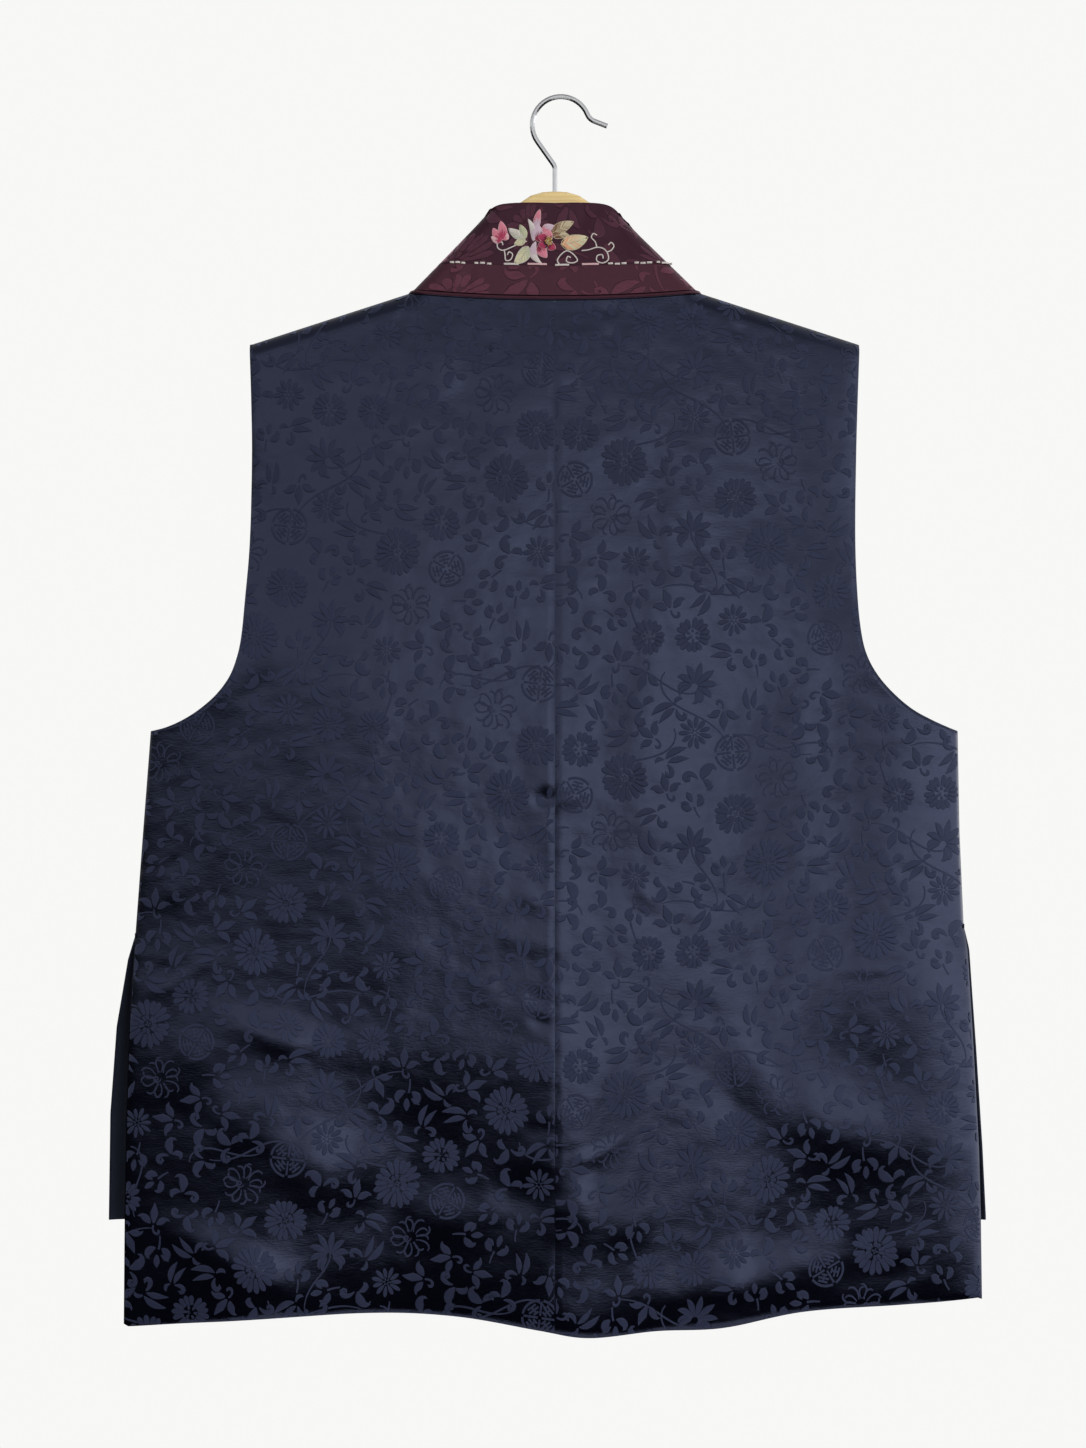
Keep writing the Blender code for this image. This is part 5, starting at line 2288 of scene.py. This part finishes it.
@dataclass
class SlitTacks:
    """A bar tack at the top of each side slit."""

    form: GarmentForm
    thread_radius: float = 0.4
    threads: int = 6
    pitch: float = 0.55
    below_slit_top: float = 2.4
    from_edge: float = 0.4
    bow: float = 0.6
    half_depth: float = 2.6
    half_turn: float = 1.25

    def build(self, silk: Material) -> Piece:
        """Builds both tacks as one piece.

        Args:
            silk: finish of the threads.

        Returns:
            The piece.
        """
        data = thread_curve("slit_tacks", self.thread_radius, 1, silk)
        turn = np.linspace(-self.half_turn, self.half_turn, 7)
        for side in Side:
            top = SLIT_TOP[side] - 1.0
            edge = self.form.half_width(np.array(top), side, Layer.BACK) - self.from_edge
            for number in range(self.threads):
                z = SLIT_TOP[side] - self.below_slit_top + number * self.pitch
                x, depth = edge + self.bow * np.cos(turn), self.half_depth * np.sin(turn)
                lay_thread(data, self.form.place(x, depth, z, side, Layer.BACK))
        return reported(new_piece("slit_tacks", thread_mesh(data)))


# Hanger, setting and camera


@dataclass
class Hanger:
    """The wooden board and its wire hook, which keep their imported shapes."""

    board: WoodFinish = WoodFinish()
    hook: SteelFinish = SteelFinish()

    def dress(self) -> None:
        """Gives both nodes their finishes."""
        for node, finish in (("hanger_board", self.board), ("hanger_hook", self.hook)):
            wear(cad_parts[node].data, finish.make())
            log.info("%s dressed", node)


@dataclass
class Setting:
    """Camera, lights, pale background and floor."""

    photo_size: tuple[int, int] = (1086, 1448)
    camera_place: Triple = (0.0133, 2.4, -0.4647)
    metres_per_pixel: float = 0.00074
    garment_plane: float = 0.012
    floor_height: float = -1.9
    floor_radius: float = 1.3
    paper: Triple = (0.935, 0.935, 0.925)
    side_slope: float = 0.15
    glow_at: Pair = (-0.075, -0.02)
    glow_size: Pair = (0.17, 0.25)
    glow: float = 1.25
    side_band: Pair = (-0.2, -0.5)
    side_gain: float = 1.0
    aim: Triple = (0.0, 0.0, -0.45)
    sky_reach: float = 0.6
    sky: tuple[Pair, ...] = (
        (-0.6, 0.005),
        (-0.28, 0.01),
        (-0.17, 0.02),
        (-0.11, 0.15),
        (-0.04, 0.55),
        (0.02, 0.76),
        (0.065, 1.08),
        (0.12, 0.96),
        (0.22, 0.68),
        (0.45, 0.36),
    )

    def add_camera(self) -> None:
        """Puts the camera behind the garment, level with its middle."""
        data = bpy.data.cameras.new("camera")
        data.sensor_width = 36.0
        reach = self.camera_place[1] - self.garment_plane
        data.lens = data.sensor_width * reach / (self.metres_per_pixel * self.photo_size[1])
        camera = linked("camera", data)
        camera.location = self.camera_place
        camera.rotation_euler = (math.pi / 2, 0.0, math.pi)
        bpy.context.scene.camera = camera

    def add_light(
        self, name: str, place: Triple, size: Pair, power: float, colour: Triple
    ) -> None:
        """Adds a soft light that faces the garment's middle.

        Args:
            name: the light's name.
            place: where it hangs.
            size: how wide and how high it is.
            power: its power in watts.
            colour: its colour.
        """
        data = bpy.data.lights.new(name, "AREA")
        data.shape = "RECTANGLE"
        data.size, data.size_y = size
        data.energy = power
        data.color = colour
        light = linked(name, data)
        light.location = place
        way = Vector(self.aim) - Vector(place)
        light.rotation_euler = way.to_track_quat("-Z", "Y").to_euler()
        light.visible_glossy = False

    def add_world(self) -> None:
        """White where the camera looks past the object, and light from above for everything else."""
        world = bpy.data.worlds.new("studio")
        bpy.context.scene.world = world
        world.use_nodes = True
        world.node_tree.nodes.clear()
        bench = NodeBench(world.node_tree)
        way = bench.add("TexCoord", {}).outputs["Generated"]
        up = {0: way, 1: (-self.side_slope, 0.0, 1.0)}
        slope = bench.add("VectorMath", up, operation="DOT_PRODUCT").outputs["Value"]
        share = bench.ranged(slope, 0.0, 1.0, -self.sky_reach, self.sky_reach)
        ramp = bench.add("ValToRGB", {"Fac": share})
        stops = ramp.color_ramp.elements
        while len(stops) < len(self.sky):
            stops.new(0.5)
        for stop, (height, strength) in zip(stops, self.sky):
            stop.position = (height + self.sky_reach) / (2 * self.sky_reach)
            stop.color = (strength, strength, strength, 1.0)
        (x, z), (wide, high) = self.glow_at, self.glow_size
        round_glow = {0: way, 1: (1 / wide, 0.0, 1 / high), 2: (-x / wide, 0.0, -z / high)}
        near = bench.add("VectorMath", round_glow, operation="MULTIPLY_ADD").outputs["Vector"]
        far = bench.add("VectorMath", {0: near}, operation="LENGTH").outputs["Value"]
        glow = bench.ranged(far, self.glow, 0.0, interpolation_type="SMOOTHSTEP")
        sideways = bench.add("SeparateXYZ", {0: way}).outputs["X"]
        gain = 1.0 + self.side_gain
        side = bench.ranged(sideways, 1.0, gain, *self.side_band, interpolation_type="SMOOTHSTEP")
        total = bench.add("Math", {0: ramp.outputs["Color"], 1: side, 2: glow}, operation="MULTIPLY_ADD")
        lit = bench.add("Background", {"Strength": total.outputs[0]})
        seen = bench.add("Background", {"Color": (*self.paper, 1.0)})
        camera_ray = bench.add("LightPath", {}).outputs["Is Camera Ray"]
        mix = bench.add("MixShader", {0: camera_ray, 1: lit.outputs[0], 2: seen.outputs[0]})
        bench.add("OutputWorld", {"Surface": mix.outputs[0]})

    def add_floor(self) -> None:
        """A plain pale floor under the garment."""
        disc = bmesh.new()
        ring = bmesh.ops.create_circle(disc, cap_ends=True, radius=self.floor_radius, segments=96)
        bmesh.ops.translate(disc, verts=ring["verts"], vec=(0.0, 0.0, self.floor_height))
        floor = linked("floor", mesh_from(disc, "floor"))
        bench = MaterialBench("pale_floor")
        specks = bench.noise((30.0, 30.0, 30.0), 2.0)
        pale = bench.feed(Base_Color=bench.blend(specks, (0.86, 0.86, 0.85), (0.9, 0.9, 0.89)), Roughness=0.85)
        wear(floor.data, pale)

    def build(self) -> None:
        """Adds everything that isn't the object."""
        self.add_camera()
        self.add_world()
        self.add_floor()
        self.add_light("key", (-1.5, 2.7, 1.15), (1.5, 1.1), 49.0, (1.0, 0.985, 0.96))
        self.add_light("fill", (1.7, 2.4, 0.7), (1.4, 1.4), 7.0, (0.93, 0.96, 1.0))
        self.add_light("front_side", (0.6, -2.6, 0.9), (2.0, 1.4), 34.0, (1.0, 1.0, 1.0))
        bpy.context.scene.view_settings.view_transform = "Standard"


# Columns inside and outside the neck point, then rows below the slit's top, below the arm and beside it
PANEL_GRIDS = {Layer.BACK: (34, 62, 96, 50, 112), Layer.FRONT: (24, 46, 56, 38, 84)}
FIGURE_SHIFTS = {
    "back_left": (-60.0, 30.0),
    "back_right": (-125.0, 96.0),
    "front_left": (-20.0, 70.0),
    "front_right": (-90.0, 10.0),
    "collar_lower": (-40.0, -84.0),
    "collar_upper": (-70.0, -30.0),
}

# The collar's figures: corner and size of the cloth that the repeats cover, their scale and their lift
COLLAR_FIGURES = ((-350.0, 0.0), (700.0, 70.0), 1.35, 0.12)


def build_panels(form: GarmentForm, tile: DamaskTile, repeat: Mesh, edge: Material) -> None:
    """Builds the four body panels with their woven figures.

    Args:
        form: the garment's surface.
        tile: the damask's repeat.
        repeat: its mesh.
        edge: finish of the turned edges.
    """
    ground, figure, lining = (finish.make() for finish in (NAVY_GROUND, NAVY_FIGURE, LINING))
    for layer in Layer:
        for side in Side:
            panel = Panel(form, side, layer, *PANEL_GRIDS[layer])
            panel.build(ground, lining, edge)
            WovenFigures(tile, repeat, panel, FIGURE_SHIFTS[panel.name]).build(figure)


def build_collar(form: GarmentForm, tile: DamaskTile, repeat: Mesh) -> None:
    """Builds the collar: two bands with their figures, the piping and the embroidery.

    Args:
        form: the garment's surface.
        tile: the damask's repeat.
        repeat: its mesh.
    """
    lower, upper = BURGUNDY_LOWER.make(), BURGUNDY_UPPER.make()
    lower_band = CollarBand(form, "collar_lower", 0.012, LOWER_COLLAR_SHARE, 12)
    upper_band = CollarBand(form, "collar_upper", LOWER_COLLAR_SHARE + 0.002, 1.0, 22)
    for band, silk, figure in ((lower_band, lower, LOWER_FIGURE), (upper_band, upper, UPPER_FIGURE)):
        band.build(silk)
        figures = WovenFigures(tile, repeat, band, FIGURE_SHIFTS[band.name], "burgundy_silk", *COLLAR_FIGURES)
        figures.build(figure.make())
    CollarPiping(form).build(lower, PIPING_PAINTED_SHADE.make())
    Embroidery(form).build()


def main() -> None:
    """Builds the hanger's and the garment's looks in order."""
    logging.basicConfig(level=logging.INFO, format="%(message)s")
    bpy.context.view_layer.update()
    form = GarmentForm()
    Setting().build()
    Hanger().dress()
    tile = DamaskTile()
    repeat = tile.build()
    edge = NAVY_EDGE.make()
    build_panels(form, tile, repeat, edge)
    build_collar(form, tile, repeat)
    SlitTacks(form).build(edge)
    SeamTape(form).build(edge)
    bpy.data.meshes.remove(repeat)


if __name__ == "__main__":
    main()
